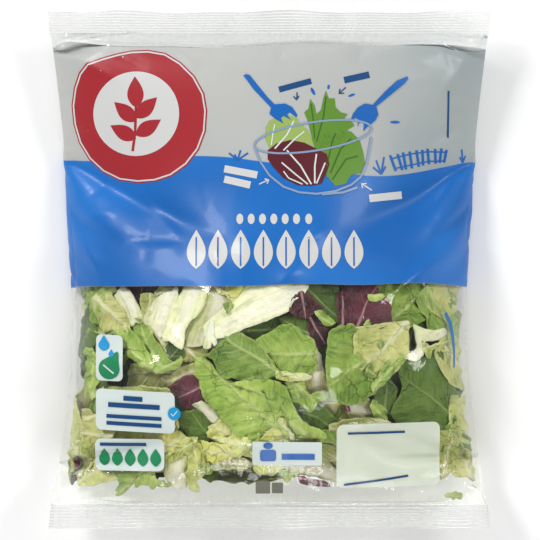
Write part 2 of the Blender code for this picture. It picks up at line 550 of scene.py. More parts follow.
def filmFinish(name, back=False):
    finish = Finish(name)
    place = finish.place()
    u, v, _ = finish.parts(finish.node("ShaderNodeUVMap", {"uv_map": "flat"}))
    bandLow = float(flatOf(0, -0.0088)[1])
    bandHigh = float(flatOf(0, 0.0650)[1])
    fieldHigh = float(flatOf(0, 0.1290)[1])
    wave = (u * 38.0).sine() * 0.0010 + (u * 90.0).sine() * 0.0005
    lowEdge = wave * 0.4 + u * 0.006 + bandLow
    hills = fieldHeight(
        u, bandHigh, ((-0.0100, 0.0600, 0.0460), (-0.0020, 0.0, 0.02), (0.0012, -0.06, 0.03)))
    highEdge = wave * 1.2 + fieldHigh + (u * u) * 0.25
    soft = 0.00035
    inBlue = (v - lowEdge).step(-soft, soft) * (hills - v).step(-soft, soft)
    printed = (v - lowEdge).step(-soft, soft) * (highEdge - v).step(-soft, soft)
    # the low band where the back film gets a painted light panel
    paintedLightPanel = (float(flatOf(0, -0.1120)[1]) - v).step(-0.003, 0.003)
    if back:
        printed = (printed + paintedLightPanel * 0.6).least(1.0)
    # painted light and shade: each printed field runs from its shaded to its lit colour in random patches,
    # and the white is painted darker towards the right
    tone = finish.noise(place, 9.0, 2.0)
    blue = finish.blend(tone.step(0.35, 0.70), *fieldInk["blue"])
    white = finish.blend((tone.step(0.30, 0.70) * 0.6 - u * 3.5 + 0.2).step(0.0, 1.0), *fieldInk["white"])
    colour = finish.blend(inBlue, white, blue)
    glow = (0.0, 0.0, 0.0)
    if back:
        # painted light: a pale panel that glows under the last leaves, standing in for the light behind the
        # bag showing through
        colour = finish.blend(paintedLightPanel, colour, (0.88, 0.89, 0.86))
        glow = finish.blend(paintedLightPanel, (0.0, 0.0, 0.0), (1.0, 1.0, 0.95))
    gathers = finish.noise(finish.stretched(place, (1.0, 0.16, 0.5)), 75.0, 3.0, 0.6)
    nearTop = (v - fieldHigh).step(-0.055, 0.004) + (v * -1.0 - 0.100).step(0.0, 0.03)
    relief = crinkle(finish, place) + gathers * nearTop * 2.2
    normal = finish.bump(relief, 0.35, 0.0010)
    printedSkin = finish.skin(
        Base_Color=colour, Roughness=0.42, Normal=normal, Coat_Weight=0.07, Coat_Roughness=0.10,
        Specular_IOR_Level=0.3, Emission_Color=glow, Emission_Strength=0.4,
    )
    clear = finish.node("ShaderNodeBsdfTransparent", None, {"Color": (1.0, 1.0, 1.0)})
    wrinkled = finish.bump(relief, 0.6, 0.0016)
    shine = finish.node(
        "ShaderNodeBsdfGlossy", None, {"Color": (1.0, 1.0, 1.0), "Roughness": 0.08, "Normal": wrinkled})
    facing = finish.node("ShaderNodeLayerWeight", None, {"Blend": 0.5, "Normal": normal}, 1)
    mirror = facing ** 5.0 * 0.8 + 0.022
    haze = finish.skin(Base_Color=(0.86, 0.89, 0.86), Roughness=0.4, Normal=normal)
    bare = finish.node("ShaderNodeMixShader", None, {0: mirror, 1: clear, 2: shine})
    # painted reflection and light: the clear film is hazed paler towards its sides, standing in for the sheen
    # of film seen at a slant, and near the welds, standing in for the light seen through the film there; the
    # faint random haze is the film's own
    sides = (u.size() * (1.0 / filmTube["flatWidth"])).step(0.415, 0.49)
    paintedLightNearWelds = (v - highEdge).step(0.0, 0.004) * 0.35 + (v * -1.0 - 0.118).step(0.0, 0.02) * 0.12
    cloud = finish.noise(place, 26.0, 3.0).step(0.50, 0.75) * 0.03 + sides * 0.16 + paintedLightNearWelds + 0.006
    hazy = finish.node("ShaderNodeMixShader", None, {0: cloud, 1: bare, 2: haze})
    return finish.done(finish.node("ShaderNodeMixShader", None, {0: printed, 1: hazy, 2: printedSkin}))


def weldFinish(name):
    # two clear films welded: silvery, with bright ridges
    finish = Finish(name)
    place = finish.place()
    normal = finish.bump(finish.noise(place, 120.0, 2.0), 0.3, 0.0006)
    clear = finish.node("ShaderNodeBsdfTransparent", None, {"Color": (1.0, 1.0, 1.0)})
    haze = finish.skin(
        Base_Color=(0.72, 0.73, 0.71), Roughness=0.22, Normal=normal, Coat_Weight=0.5, Coat_Roughness=0.1,
    )
    cloud = finish.noise(finish.stretched(place, (1.0, 0.25, 1.0)), 60.0, 2.0).step(0.3, 0.75) * 0.3 + 0.45
    return finish.done(finish.node("ShaderNodeMixShader", None, {0: cloud, 1: clear, 2: haze}))


filmFront.data.materials.append(filmFinish("printed_film"))
filmBack.data.materials.append(filmFinish("printed_film_back", back=True))
for weld in (weldTop, weldBottom):
    weld.data.materials.append(weldFinish("weld_" + weld.name))
print("film finished")

for piece in (filmFront, filmBack, weldTop, weldBottom):
    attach(piece, "root")
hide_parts("bag")


# the leaves: sheets laid against the inside of the film, in layers

# once round the tube, from the left side
ring = np.concatenate([film[0][:, :-1], film[1][:, :0:-1]], axis=1)
ringNormal = np.cross(
    np.roll(ring, -1, axis=1) - np.roll(ring, 1, axis=1), np.gradient(ring, axis=0)
)
for _ in range(8):
    ringNormal += np.roll(ringNormal, 1, axis=1) + np.roll(ringNormal, -1, axis=1)
    ringNormal[1:-1] += ringNormal[:-2] + ringNormal[2:]
    ringNormal /= np.linalg.norm(ringNormal, axis=-1, keepdims=True) + 1e-12
roomInside = (film[0][..., 2] - film[1][..., 2]).max(axis=1)            # thickness of the bag at each row
around = 2 * filmTube["flatWidth"]


def onRing(values, c, v):
    # values of the ring at distances round and along the tube
    rows, cols = values.shape[:2]
    i = (c / around * cols) % cols
    j = np.clip((v / filmTube["flatLength"] + 0.5) * (rows - 1), 0, rows - 1.001)
    i0, j0 = np.floor(i).astype(int) % cols, np.floor(j).astype(int)
    ti, tj = (i - np.floor(i))[..., None], (j - j0)[..., None]
    i1 = (i0 + 1) % cols
    low = values[j0, i0] * (1 - ti) + values[j0, i1] * ti
    high = values[j0 + 1, i0] * (1 - ti) + values[j0 + 1, i1] * ti
    return low * (1 - tj) + high * tj


def softNoise(x, y, cell, random):
    # smooth random swells from -1 to 1, about a cell across
    lattice = random.uniform(-1, 1, (32, 32))
    gx, gy = x / cell + 100.3, y / cell + 100.7
    i, j = np.floor(gx).astype(int), np.floor(gy).astype(int)
    tx, ty = gx - i, gy - j
    tx, ty = tx * tx * (3 - 2 * tx), ty * ty * (3 - 2 * ty)
    i, j = i % 31, j % 31
    low = lattice[j, i] * (1 - tx) + lattice[j, i + 1] * tx
    high = lattice[j + 1, i] * (1 - tx) + lattice[j + 1, i + 1] * tx
    return low * (1 - ty) + high * ty


# how each kind of leaf is shaped: sizes in mm
leafKinds = {
    "green": {"cup": 1.5, "crinkle": 1.3, "ruffle": 2.4, "quilt": 1.1, "spacing": 8.0,
              "rib": 0.9, "ribWidth": 1.9, "thick": 0.4, "jag": 0.45},
    "pale": {"cup": 2.0, "crinkle": 0.9, "ruffle": 1.7, "quilt": 0.7, "spacing": 9.5,
             "rib": 1.2, "ribWidth": 2.4, "thick": 0.5, "jag": 0.4},
    "rib": {"cup": -3.2, "crinkle": 0.35, "ruffle": 0.4, "quilt": 0.1, "spacing": 16.0,
            "rib": 0.0, "ribWidth": 6.0, "thick": 1.6, "jag": 0.25},
    "dark": {"cup": 1.5, "crinkle": 0.45, "ruffle": 1.0, "quilt": 0.5, "spacing": 12.0,
             "rib": 0.8, "ribWidth": 1.3, "thick": 0.4, "jag": 0.2},
    "radicchio": {"cup": 2.0, "crinkle": 0.6, "ruffle": 1.0, "quilt": 0.3, "spacing": 12.0,
                  "rib": 0.8, "ribWidth": 1.2, "thick": 0.5, "jag": 0.35},
    "frisee": {"cup": 1.0, "crinkle": 1.5, "ruffle": 2.6, "quilt": 0.5, "spacing": 5.0,
               "rib": 0.6, "ribWidth": 1.3, "thick": 0.4, "jag": 1.0},
}
filmGap = 0.9        # mm between a leaf and the film


def leafRelief(kind, across, along, length, gap, random):
    # the leaf's height in mm, and the place across and along it that its veins follow
    shape = leafKinds[kind]
    half = max(abs(across).max(), 1.0)
    across = across + 1.3 * softNoise(across, along, 14, random)
    veinAlong = along + 1.8 * softNoise(across, along, 9, random)
    height = 0.4 * shape["cup"] * (across / half) ** 2
    height += shape["crinkle"] * (0.6 - 2 * abs(softNoise(across, along, 7.5, random)))
    height += 0.4 * shape["crinkle"] * softNoise(across, along, 3.2, random)
    height += 0.6 * shape["ruffle"] * np.exp(-gap / 3) * softNoise(across, along, 4.6, random)
    slanted = (veinAlong - abs(across) * 0.85) / shape["spacing"]
    toVein = abs(slanted - np.floor(slanted) - 0.5) * shape["spacing"]
    height -= shape["quilt"] * np.exp(-((toVein / 1.2) ** 2))
    width = shape["ribWidth"] * (1.25 - np.clip(along / length, 0, 1))
    height += shape["rib"] * np.exp(-((across / width) ** 2))
    return height, across, veinAlong


def leafPaint(piece, across, along, length, gap, tone, order=None):
    half = max(abs(across).max(), 1.0)
    values = np.stack([
        np.clip(abs(across) / half, 0, 1), np.clip(along / length, 0, 1),
        np.full(across.shape, tone), np.exp(-gap / 0.7),
    ], -1)
    uv = np.stack([across, along], -1) * 0.01
    if order is not None:
        values, uv = values[order], uv[order]
    paint = piece.data.color_attributes.new(name="leafMap", type="FLOAT_COLOR", domain="POINT")
    paint.data.foreach_set("color", values.ravel())
    writeUv(piece, "blade", uv)


def heapWave(c, v):
    # the swells of the heap, shared by all its leaves so that no leaf crosses the next, in mm
    random = np.random.default_rng(12)
    swells = 1.3 * softNoise(c / mm, v / mm, 17, random)
    return swells + 1.0 * (1 - 2 * abs(softNoise(c / mm, v / mm, 11, random)))


def belowFilm(depth, height, c, v):
    # pressed flat where the leaf would pass the film
    fall = depth + 1.6 - height - heapWave(c, v)
    return filmGap * 0.5 + np.log1p(np.exp(np.clip(fall / 0.5, -30, 30))) * 0.5


def fillOutline(outline, spacing, jag=0.0, random=None):
    # points and triangles that fill an outline, and how far each point is from its edge
    corners = np.array(outline, float).reshape(-1, 2)
    edge = []
    for start, finish in zip(corners, np.roll(corners, -1, axis=0)):
        count = max(1, round(float(np.linalg.norm(finish - start)) / spacing))
        edge += [start + (finish - start) * k / count for k in range(count)]
    edge = np.array(edge)
    if jag:
        # neighbours overlap a little, and no edge is straight
        run = np.roll(edge, -1, axis=0) - np.roll(edge, 1, axis=0)
        run /= np.linalg.norm(run, axis=1, keepdims=True) + 1e-9
        x, y = edge.T
        turning = np.sign((x * np.roll(y, -1) - y * np.roll(x, -1)).sum())
        push = softNoise(x, y, 3.4, random) + 0.8 * softNoise(x, y, 1.7, random)
        edge = edge + np.stack([run[:, 1], -run[:, 0]], -1) * (turning * 0.6 + push * jag)[:, None]
    low, high = edge.min(axis=0), edge.max(axis=0)
    x, y = np.meshgrid(np.arange(low[0], high[0], spacing), np.arange(low[1], high[1], spacing * 0.87))
    x[1::2] += spacing / 2
    inner = np.stack([x.ravel(), y.ravel()], -1)
    gap = np.sqrt(((inner[:, None] - edge[None]) ** 2).sum(-1)).min(axis=1)
    inner = inner[gap > spacing * 0.6]
    loop = list(range(len(edge)))
    made = delaunay_2d_cdt([Vector(p) for p in np.vstack([edge, inner])], [], [loop], 1, 1e-5)
    places = np.array([tuple(p) for p in made[0]])
    faces = np.array([tuple(face) for face in made[2]])
    used = np.unique(faces)
    renumber = np.zeros(len(places), int)
    renumber[used] = np.arange(len(used))
    places = places[used]
    gap = np.sqrt(((places[:, None] - edge[None]) ** 2).sum(-1)).min(axis=1)
    return places, renumber[faces], gap


def onFilm(places):
    # points of the front film under places seen from above, in metres, with smooth normals
    spots, sides = [], []
    for x, y in np.array(places) * mm:
        hit, _, face, _ = fromAbove.ray_cast(Vector((x, y, 1)), Vector((0, 0, -1)))
        while hit is None:
            x, y = x * 0.994, y * 0.998
            hit, _, face, _ = fromAbove.ray_cast(Vector((x, y, 1)), Vector((0, 0, -1)))
        spots.append(tuple(hit))
        sides.append(face)
    perRow = film.shape[2] - 1
    spots, sides = np.array(spots), np.array(sides)
    row, col = sides // perRow, sides % perRow
    corner = film[0][row, col]
    acrossEdge, alongEdge = film[0][row, col + 1] - corner, film[0][row + 1, col] - corner
    offset = spots - corner
    s = np.clip((offset * acrossEdge).sum(-1) / ((acrossEdge ** 2).sum(-1) + 1e-12), 0, 1)
    t = np.clip((offset * alongEdge).sum(-1) / ((alongEdge ** 2).sum(-1) + 1e-12), 0, 1)
    c = (col + s) / perRow * filmTube["flatWidth"]
    v = ((row + t) / (film.shape[1] - 1) - 0.5) * filmTube["flatLength"]
    outward = onRing(ringNormal, c, v)
    outward /= np.linalg.norm(outward, axis=-1, keepdims=True)
    return spots, outward, c, v


def meshPiece(name, points, faces):
    mesh = bpy.data.meshes.new(name)
    mesh.from_pydata(points.tolist(), [], faces.tolist())
    mesh.update()
    if sum(face.normal.z for face in mesh.polygons) < 0:
        mesh.flip_normals()
    mesh.shade_smooth()
    piece = bpy.data.objects.new(name, mesh)
    bpy.context.scene.collection.objects.link(piece)
    return piece


def placedLeaf(name, kind, depth, tone, ribLine, outline, random):
    # a leaf of the front, drawn as it is seen from above
    shape = leafKinds[kind]
    places, faces, gap = fillOutline(outline, 1.35, shape["jag"], random)
    base, tip = np.array(ribLine[:2], float), np.array(ribLine[2:], float)
    length = float(np.linalg.norm(tip - base))
    run = (tip - base) / length
    along = (places - base) @ run
    across = (places - base) @ np.array((run[1], -run[0]))
    height, across, along = leafRelief(kind, across, along, length, gap, random)
    skin, outward, c, v = onFilm(places)
    room = np.interp(v, flatPlace[:, 0, 1], roomInside) / mm
    inset = np.minimum(belowFilm(depth, height, c, v), 0.45 * room + 0.02 * depth)
    inset *= 0.4 + 0.6 * np.clip(outward[:, 2] * 1.6, 0, 1)
    points = skin - outward * inset[:, None] * mm
    points[:, 2] = np.maximum(points[:, 2], 0.0015)
    piece = meshPiece(name, points, faces)
    leafPaint(piece, across, along, length, gap, tone)
    return piece


def looseLeaf(name, kind, c, v, length, width, turn, depth, tone, random):
    # a leaf among those behind, laid anywhere round the tube
    shape = leafKinds[kind]
    rows, cols = max(8, int(length / 2.4)), max(6, int(width / 2.4))
    t, s = np.meshgrid(np.linspace(-1, 1, cols + 1), np.linspace(0, 1, rows + 1))
    profile = (0.25 + 0.75 * np.sin(np.pi * (0.08 + 0.86 * s))) ** 0.6
    edge = np.where(t < 0, -1.0, 1.0)
    jag = softNoise(s * length + 57 * edge, edge * 40, 9, random)
    across = t * width / 2 * profile * (1 + 0.22 * jag)
    along = s * length
    gap = (1 - abs(t)) * width / 2
    turn = math.radians(turn)
    roundTube = c + (across * math.cos(turn) - (along - length / 2) * math.sin(turn)) * mm
    upTube = v + (across * math.sin(turn) + (along - length / 2) * math.cos(turn)) * mm
    height, across, along = leafRelief(kind, across, along, length, gap, random)
    low = flatPlace[lowWeldEnd, 0, 1] + looseLeaves["clearBelow"]
    upTube = np.where(upTube < low, low + 0.25 * (upTube - low), upTube)
    skin = onRing(ring, roundTube, upTube)
    outward = onRing(ringNormal, roundTube, upTube)
    outward /= np.linalg.norm(outward, axis=-1, keepdims=True)
    room = np.interp(upTube, flatPlace[:, 0, 1], roomInside) / mm
    inset = np.minimum(belowFilm(depth, height, roundTube, upTube), 0.42 * room + 0.02 * depth)
    points = skin - outward * inset[..., None] * mm
    points[..., 2] = np.maximum(points[..., 2], 0.0015)
    piece, row, col = gridPiece(name, points)
    leafPaint(piece, across, along, length, gap, tone, (row, col))
    return piece


# leaves that show at the front, drawn from above, in mm:
# kind, depth under the film, tone, rib from base to tip, outline
frontLeaves = (
    ("pale", 3.0, 0.45, (-105, -13, -86, -33), (-104, -13.5, -99, -13, -94, -12.5, -90.5, -20, -86.5,
        -26.5, -83.5, -31, -82, -36, -86, -34, -95, -34, -98.5, -36, -103.5, -31, -105, -24, -105.5,
        -17)),
    ("green", 4.0, 0.45, (-92, -9, -108, -12), (-107, -6, -94, -6, -92, -12, -98, -14, -104, -14, -106,
        -20, -108, -12)),
    ("green", 4.5, 0.25, (-98, -37, -110, -33), (-110, -31, -104.5, -29, -102.5, -31, -96, -36, -100, -40,
        -101, -52, -105, -54, -109, -44, -110.5, -36)),
    ("green", 3.0, 0.9, (-106, -74, -109, -46), (-111, -46, -107, -45, -104, -54, -102.5, -62, -104, -72,
        -108, -74, -111, -70, -111.5, -58)),
    ("dark", 4.0, 0.6, (-106, -84, -101, -52), (-104, -52, -98, -50, -98, -78, -106, -82.5, -108.5, -80,
        -107, -75, -103.5, -70)),
    ("rib", 2.6, 0.75, (-88, -8, -79, -31), (-93, -15, -90.5, -13, -88, -8.5, -84, -11.5, -81.5, -16.5,
        -78.5, -22, -75.5, -28.5, -77.5, -30, -80, -29, -82.5, -32, -84.5, -29.5, -88, -24.5)),
    ("radicchio", 7.5, 0.0, (-80, -20, -78, -5), (-95, -6, -64, -6, -70, -13, -75, -17, -79, -22, -83,
        -19, -84, -11, -88, -9, -92, -13)),
    ("pale", 4.5, 0.3, (-74, -30, -72, -12), (-77, -13.5, -70, -12.5, -67.5, -17, -70, -20, -70, -28, -73,
        -31, -76.5, -25)),
    ("pale", 5.5, 0.2, (-58, -10, -69, -13), (-69, -12, -66, -9, -60, -7, -57, -12, -64, -15, -68, -15)),
    ("rib", 2.6, 0.8, (-58, -11, -66, -37), (-68.5, -17, -62, -13, -57, -12, -55.5, -8, -54, -14, -56,
        -20, -59, -25, -61.5, -30, -63, -36.5, -65, -38, -68, -34, -72, -30.5, -73, -25)),
    ("pale", 5.2, 0.5, (-70, -30, -61, -50), (-74, -30, -68, -33, -64, -39, -59, -44, -59, -50, -64, -46,
        -69, -38)),
    ("rib", 1.4, 0.95, (-43, -6, -56, -44), (-50, -7, -38, -7, -37, -10.5, -40, -20, -43, -25.5, -47, -28,
        -50, -33, -50.5, -41, -52, -45, -55, -42.5, -59, -39.5, -63, -39.5, -63, -35, -60, -28, -56, -19,
        -51, -12)),
    ("rib", 3.6, 0.35, (-28, -8, -40, -44), (-38, -8, -18, -8, -18, -24, -28, -38, -36, -42, -49, -43,
        -52, -34, -47, -28, -42, -22)),
    ("rib", 1.6, 1.0, (22, -10, -36, -36), (-15, -8, 0, -8, 16, -8, 23, -8, 20, -13, 14, -17, 11, -23, 3,
        -26, -5, -29.5, -18, -34.5, -22, -36, -25, -37.5, -31, -38.5, -37, -38, -39, -32, -33, -26, -26,
        -21, -21, -17, -17, -14)),
    ("rib", 0.9, 0.9, (-34, -29, -34, -45), (-38, -44, -36, -31, -34, -29, -32.5, -36, -30.5, -42, -32,
        -43, -34, -38.5, -34.3, -44, -36, -44.5)),
    ("frisee", 1.2, 0.75, (-30, -9, -18, -17), (-32, -7, -15, -7, -16, -14, -20, -19, -23, -16, -26,
        -13.5, -30, -12)),
    ("green", 0.8, 0.2, (-23, -18, -25, -25), (-26, -19.5, -22.5, -18, -22, -20.5, -24.5, -24.5, -26,
        -21.5)),
    ("dark", 8.0, 0.3, (-18, -36, 18, -29), (-19, -35.5, -5, -29, 0, -26, 12, -24, 20, -28, 20, -33, 8,
        -33, 2, -36, -4, -40, -12, -42)),
    ("dark", 6.0, 0.7, (23, -36, 6, -26), (6, -27, 12, -25.5, 22, -28, 25, -34, 25, -40, 20, -38, 15, -34,
        9, -31)),
    ("radicchio", 1.6, 0.15, (18, -12, 20, -28), (15, -14, 19, -12.5, 23, -15, 27, -18, 31, -21.5, 28,
        -22.5, 25, -24, 22.5, -27, 20.5, -27.5, 19, -26, 16, -26.5, 12, -23, 13, -17)),
    ("radicchio", 5.5, 0.0, (24, -26, 32, -42), (22, -26, 27, -24, 30, -30, 34, -34, 34, -41, 30, -44, 26,
        -39, 23, -32)),
    ("dark", 4.0, 0.35, (20, -7, 40, -26), (19, -7, 41, -7, 41, -22, 39, -30, 34, -24.5, 28, -21, 22, -16,
        19, -13)),
    ("green", 2.6, 0.35, (26, -24, 37, -31), (26, -23.5, 30, -23, 34, -26, 37.5, -30, 35, -32, 32.5, -31,
        29, -27.5)),
    ("green", 1.5, 0.2, (6, -60, -26, -38), (-24, -34.5, -19, -35.5, -14, -38.5, -8, -41.5, -4, -46, 0,
        -51, 4, -57, 7, -60, 0, -62, -4, -64, -9, -62, -14, -63.5, -17, -63, -22, -61, -26, -62, -30, -58,
        -33, -51, -37, -49, -30, -44, -28, -40, -26, -37)),
    ("green", 1.9, 0.8, (10, -96, -42, -52), (-44, -50.5, -40, -49.5, -36, -53, -30, -59, -25, -63, -20,
        -66, -14, -68, -8, -70, -2, -72.5, 4, -76, 9, -80, 13, -86, 17, -92, 16, -97.5, 10, -97.5, 5, -91,
        -2, -95, -6, -98.5, -12, -100, -20, -95, -27, -88, -32, -80, -37, -76, -39, -69, -41, -65, -44,
        -60, -43, -55)),
    ("green", 0.9, 0.85, (26, -98, -20, -64), (-21, -65.5, -14, -64, -8, -63.5, 0, -63.5, 5, -64, 9, -68,
        12, -75, 15, -82, 19, -88, 25, -92, 32, -95, 33, -97, 28, -97.5, 20, -98, 16, -97.5, 14, -92, 10,
        -84, 5, -77.5, -2, -72, -10, -69)),
    ("green", 2.8, 0.5, (28, -48, -6, -47), (0, -35, 6, -32, 12, -30.5, 17, -34, 22, -37, 26, -39, 27.5,
        -45, 27.5, -52, 27, -57, 23, -60, 17, -60, 6, -58.5, 2, -54, -1, -48, -4, -45, -8, -40, -4, -38)),
    ("pale", 1.6, 0.9, (25, -62, 4, -60), (4, -58.5, 14, -59.5, 20, -59.5, 24, -61.5, 23, -63.5, 18, -64,
        10, -64, 4, -62)),
    ("rib", 6.0, 0.0, (29, -47, 28, -76), (24, -58, 27, -52, 28.5, -46, 31, -48, 33, -58, 34.5, -66, 34,
        -76, 30, -76, 22, -74, 19, -68, 23, -62)),
    ("green", 3.0, 0.65, (14, -67, 28, -80), (9, -66, 20, -65, 21, -71, 24, -74, 29, -72, 33, -71.5, 34,
        -74.5, 30, -77.5, 27, -80, 24, -83.5, 20.5, -80, 16, -77, 12, -75)),
    ("dark", 6.5, 0.8, (13, -80, 36, -94), (12, -78, 19, -79, 24, -84, 30, -80, 34, -84, 40, -90, 36, -96,
        26, -94, 20, -90, 16, -86)),
    ("green", 1.7, 0.4, (64, -46, 34, -66), (35, -36, 41, -31.5, 48, -31.5, 51, -33.5, 52, -42, 52, -48,
        58, -55, 61, -58, 62, -62, 60, -68, 61, -70, 57, -75, 48, -78, 42, -77.5, 36.5, -76, 34.5, -68,
        33.5, -60, 34, -50, 34.5, -43)),
    ("pale", 1.5, 0.6, (79, -31, 54, -60), (50, -33.5, 58, -32.5, 68, -31, 78, -29.5, 80.5, -29.5, 81.5,
        -31, 81, -38, 80, -48, 79, -51, 76, -55, 72, -59, 66, -63, 62, -66, 58, -62, 53, -56, 50, -48,
        49.5, -40)),
    ("green", 0.9, 0.75, (60, -71, 78, -49), (79, -50, 76, -48, 72, -50, 69, -54, 64, -61, 60, -67, 61,
        -71, 66, -67, 71, -61, 76, -55.5)),
    ("green", 0.8, 0.2, (57, -57, 62, -61), (57, -57, 60, -54.5, 61, -59, 63, -61, 59.5, -62, 57, -60.5)),
    ("green", 0.8, 0.3, (64, -41, 65, -45), (63.5, -42, 65, -41, 66.5, -43, 65, -45, 64, -44)),
    ("radicchio", 2.6, 0.75, (50, -34, 62, -10), (44, -9, 46, -7, 62, -7, 65, -12.5, 68, -15, 70.5, -18,
        71.5, -24, 71.5, -31, 66, -33, 58, -34, 50, -35, 44, -33, 43, -20)),
    ("radicchio", 2.2, 0.1, (43, -33, 43, -11), (40, -12, 45, -10, 47, -20, 46.5, -32, 41, -34, 40, -26)),
    ("green", 0.8, 0.7, (57, -13, 67, -15), (57.5, -13, 60, -14, 65.5, -13.5, 66.5, -15, 63, -16, 59,
        -15.5)),
    ("green", 0.8, 0.6, (55, -31, 59, -29), (54.5, -31.5, 58, -28.5, 59, -30, 57, -32.5)),
    ("green", 4.2, 0.3, (70, -32, 98, -8), (64, -7, 99, -6, 97, -14, 97, -20, 95, -26, 91, -28.5, 88, -31,
        83, -33, 81, -31, 72, -34, 70, -22, 69.5, -16)),
    ("pale", 5.2, 0.35, (96, -24, 106, -7), (95, -7, 107, -7, 108, -16, 104, -20, 99, -24, 95, -22)),
    ("rib", 1.8, 0.9, (86, -52, 104, -35), (86, -31.5, 92, -34, 98, -35, 103, -33.5, 105, -36, 102, -39,
        96, -39.5, 91.5, -40, 90.5, -44, 90, -48.5, 86, -51.5, 81, -50.5, 80, -49, 84, -47.5, 87, -45, 88,
        -42, 87, -37)),
    ("frisee", 1.4, 0.15, (90, -44, 108, -40), (90, -40.5, 94, -43, 98, -43, 101, -41, 103, -39, 109, -40,
        107, -42, 105.5, -44, 106, -47, 103, -46, 102, -43.5, 98, -44.5, 95, -46.5, 94.5, -50, 91, -48.5,
        90, -46)),
    ("dark", 7.0, 0.2, (90, -24, 84, -50), (80, -28, 100, -22, 101, -38, 90, -40, 88, -48, 80, -50)),
    ("dark", 3.4, 0.85, (113, -86, 78, -62), (97, -43, 103, -46, 104, -54, 106, -62, 110, -68, 113.5, -73,
        112, -78, 110, -80, 111.5, -84, 110, -88, 108, -93, 99, -94, 95, -92, 80, -92, 76, -90, 72, -84,
        74, -78, 78, -73, 79, -68, 77, -62, 76, -57, 80, -53, 86, -51, 93, -50)),
    ("green", 2.6, 0.05, (106, -88, 117, -107), (108, -87, 113, -91, 117, -97, 119, -102, 119, -106, 117,
        -107, 114, -105.5, 110, -105, 112, -98, 109, -95, 103, -93)),
    ("pale", 2.2, 0.3, (100, -121, 108, -96), (98, -94, 106, -94, 110, -97, 111, -101, 109, -105, 107,
        -110, 106, -115, 104, -119, 100, -121, 98, -118, 97, -108, 97, -98)),
    ("dark", 4.6, 0.55, (70, -85, 70, -66), (63, -70, 67, -66, 72, -65, 75, -70, 74, -80, 73, -84, 70,
        -84, 68, -80, 64, -76)),
    ("green", 3.6, 0.45, (60, -77, 70, -88), (62, -76, 66, -79, 69, -82, 70, -88, 66, -91, 63, -86, 60,
        -79)),
    ("rib", 6.0, 0.05, (46, -80, 66, -84), (44, -78, 60, -75, 64, -82, 67, -90, 60, -89.5, 50, -88.5, 46,
        -84)),
    ("radicchio", 4.6, 1.0, (44, -78, 47, -85), (43, -79, 47, -79, 47.5, -83, 45, -83)),
    ("pale", 3.0, 0.25, (70, -89, 35, -93), (35, -91, 42, -88, 55, -87, 66, -87, 71, -89, 66, -94, 45,
        -96, 36, -96)),
    ("radicchio", 4.6, 0.9, (-40, -67, -56, -76), (-60, -69, -55, -66, -49, -62, -42, -62, -38, -68, -36,
        -76, -42, -81, -48, -82, -54, -78, -56, -73)),
    ("pale", 7.5, 0.0, (-40, -60, -86, -62), (-86, -54, -70, -54, -62, -57, -50, -52, -40, -52, -40, -62,
        -48, -66, -58, -73, -75, -74, -88, -72)),
    ("pale", 5.6, 0.3, (-41, -58, -65, -67), (-60, -69, -65, -65, -58, -62, -52, -57, -44, -54.5, -40,
        -60, -49, -64, -56, -67.5)),
    ("green", 2.2, 0.85, (-66, -59, -94, -34), (-96, -35, -84, -33, -80, -36, -77, -40, -70, -49, -64.5,
        -56, -67, -60, -71, -59, -76, -55, -84, -49, -86, -42)),
    ("green", 2.7, 0.3, (-63, -58, -78, -29), (-82, -30, -79, -27.5, -74, -30, -70, -36, -68, -40, -62,
        -47, -60, -51, -55, -54.5, -60, -58, -65, -58, -71, -50, -77.5, -40)),
    ("green", 1.8, 0.55, (-68, -60, -51, -50), (-67, -57.5, -60, -55.5, -55, -53, -52, -49.5, -51, -52,
        -53, -56, -60, -58.5, -66, -60.5)),
    ("dark", 5.0, 0.2, (-62, -54, -54, -44), (-66, -40, -58, -39, -53, -43, -51, -49, -55, -54, -62, -55,
        -64, -48)),
    ("pale", 6.5, 0.1, (-50, -44, -42, -52), (-52, -40, -42, -41, -36, -45, -38, -52, -48, -54, -54,
        -50)),
    ("pale", 2.6, 0.35, (-92, -96, -116, -95), (-117, -92, -112, -88, -105, -89, -98, -91, -92, -94, -92,
        -98, -98, -100, -98, -106, -103, -110, -107, -110, -113, -110, -115, -100)),
    ("pale", 4.2, 0.6, (-101, -82, -114, -88), (-114, -85, -108, -84, -99, -81, -96, -92, -105, -92, -113,
        -90)),
    ("pale", 4.0, 0.85, (-98, -112, -112, -120), (-114, -109, -104, -109, -96, -110, -92, -118, -92, -122,
        -98, -123, -106, -123, -112, -121, -115, -114)),
    ("green", 1.4, 0.1, (-115, -110, -117, -115), (-118, -112, -115, -110, -114, -112, -117, -115)),
    ("rib", 2.6, 0.65, (-52, -130, -54, -106), (-62, -108, -56, -106, -51, -107, -46, -111, -46, -120,
        -48, -127, -53, -129, -58, -127, -61, -120, -62, -114)),
    ("frisee", 1.8, 0.85, (-62, -102, -47, -97), (-63, -97, -57, -94, -50, -95, -46, -98, -52, -103, -60,
        -107, -64, -103)),
    ("frisee", 2.4, 0.35, (-44, -100, -62, -108), (-62, -104, -52, -99, -43, -98, -43, -102, -52, -107,
        -60, -111)),
    ("dark", 4.6, 0.9, (-34, -98, -46, -84), (-46, -83, -38, -79, -33, -84, -29, -90, -33, -95, -36, -100,
        -46, -101, -50, -94, -55, -90, -56, -84)),
    ("rib", 3.0, 0.3, (-32, -88, -42, -78), (-45, -79, -40, -76.5, -36, -79, -31, -84, -28, -89, -33, -90,
        -38, -83)),
    ("frisee", 2.2, 0.7, (-20, -98, -34, -90), (-36, -92, -30, -88, -26, -86, -22, -91, -18, -96, -24,
        -99, -32, -99, -36, -97)),
    ("pale", 2.4, 0.95, (-12, -104, -34, -98), (-34, -98, -25, -98.5, -20, -96.5, -13, -98, -10, -103,
        -14, -107, -18, -109, -22, -105, -30, -102)),
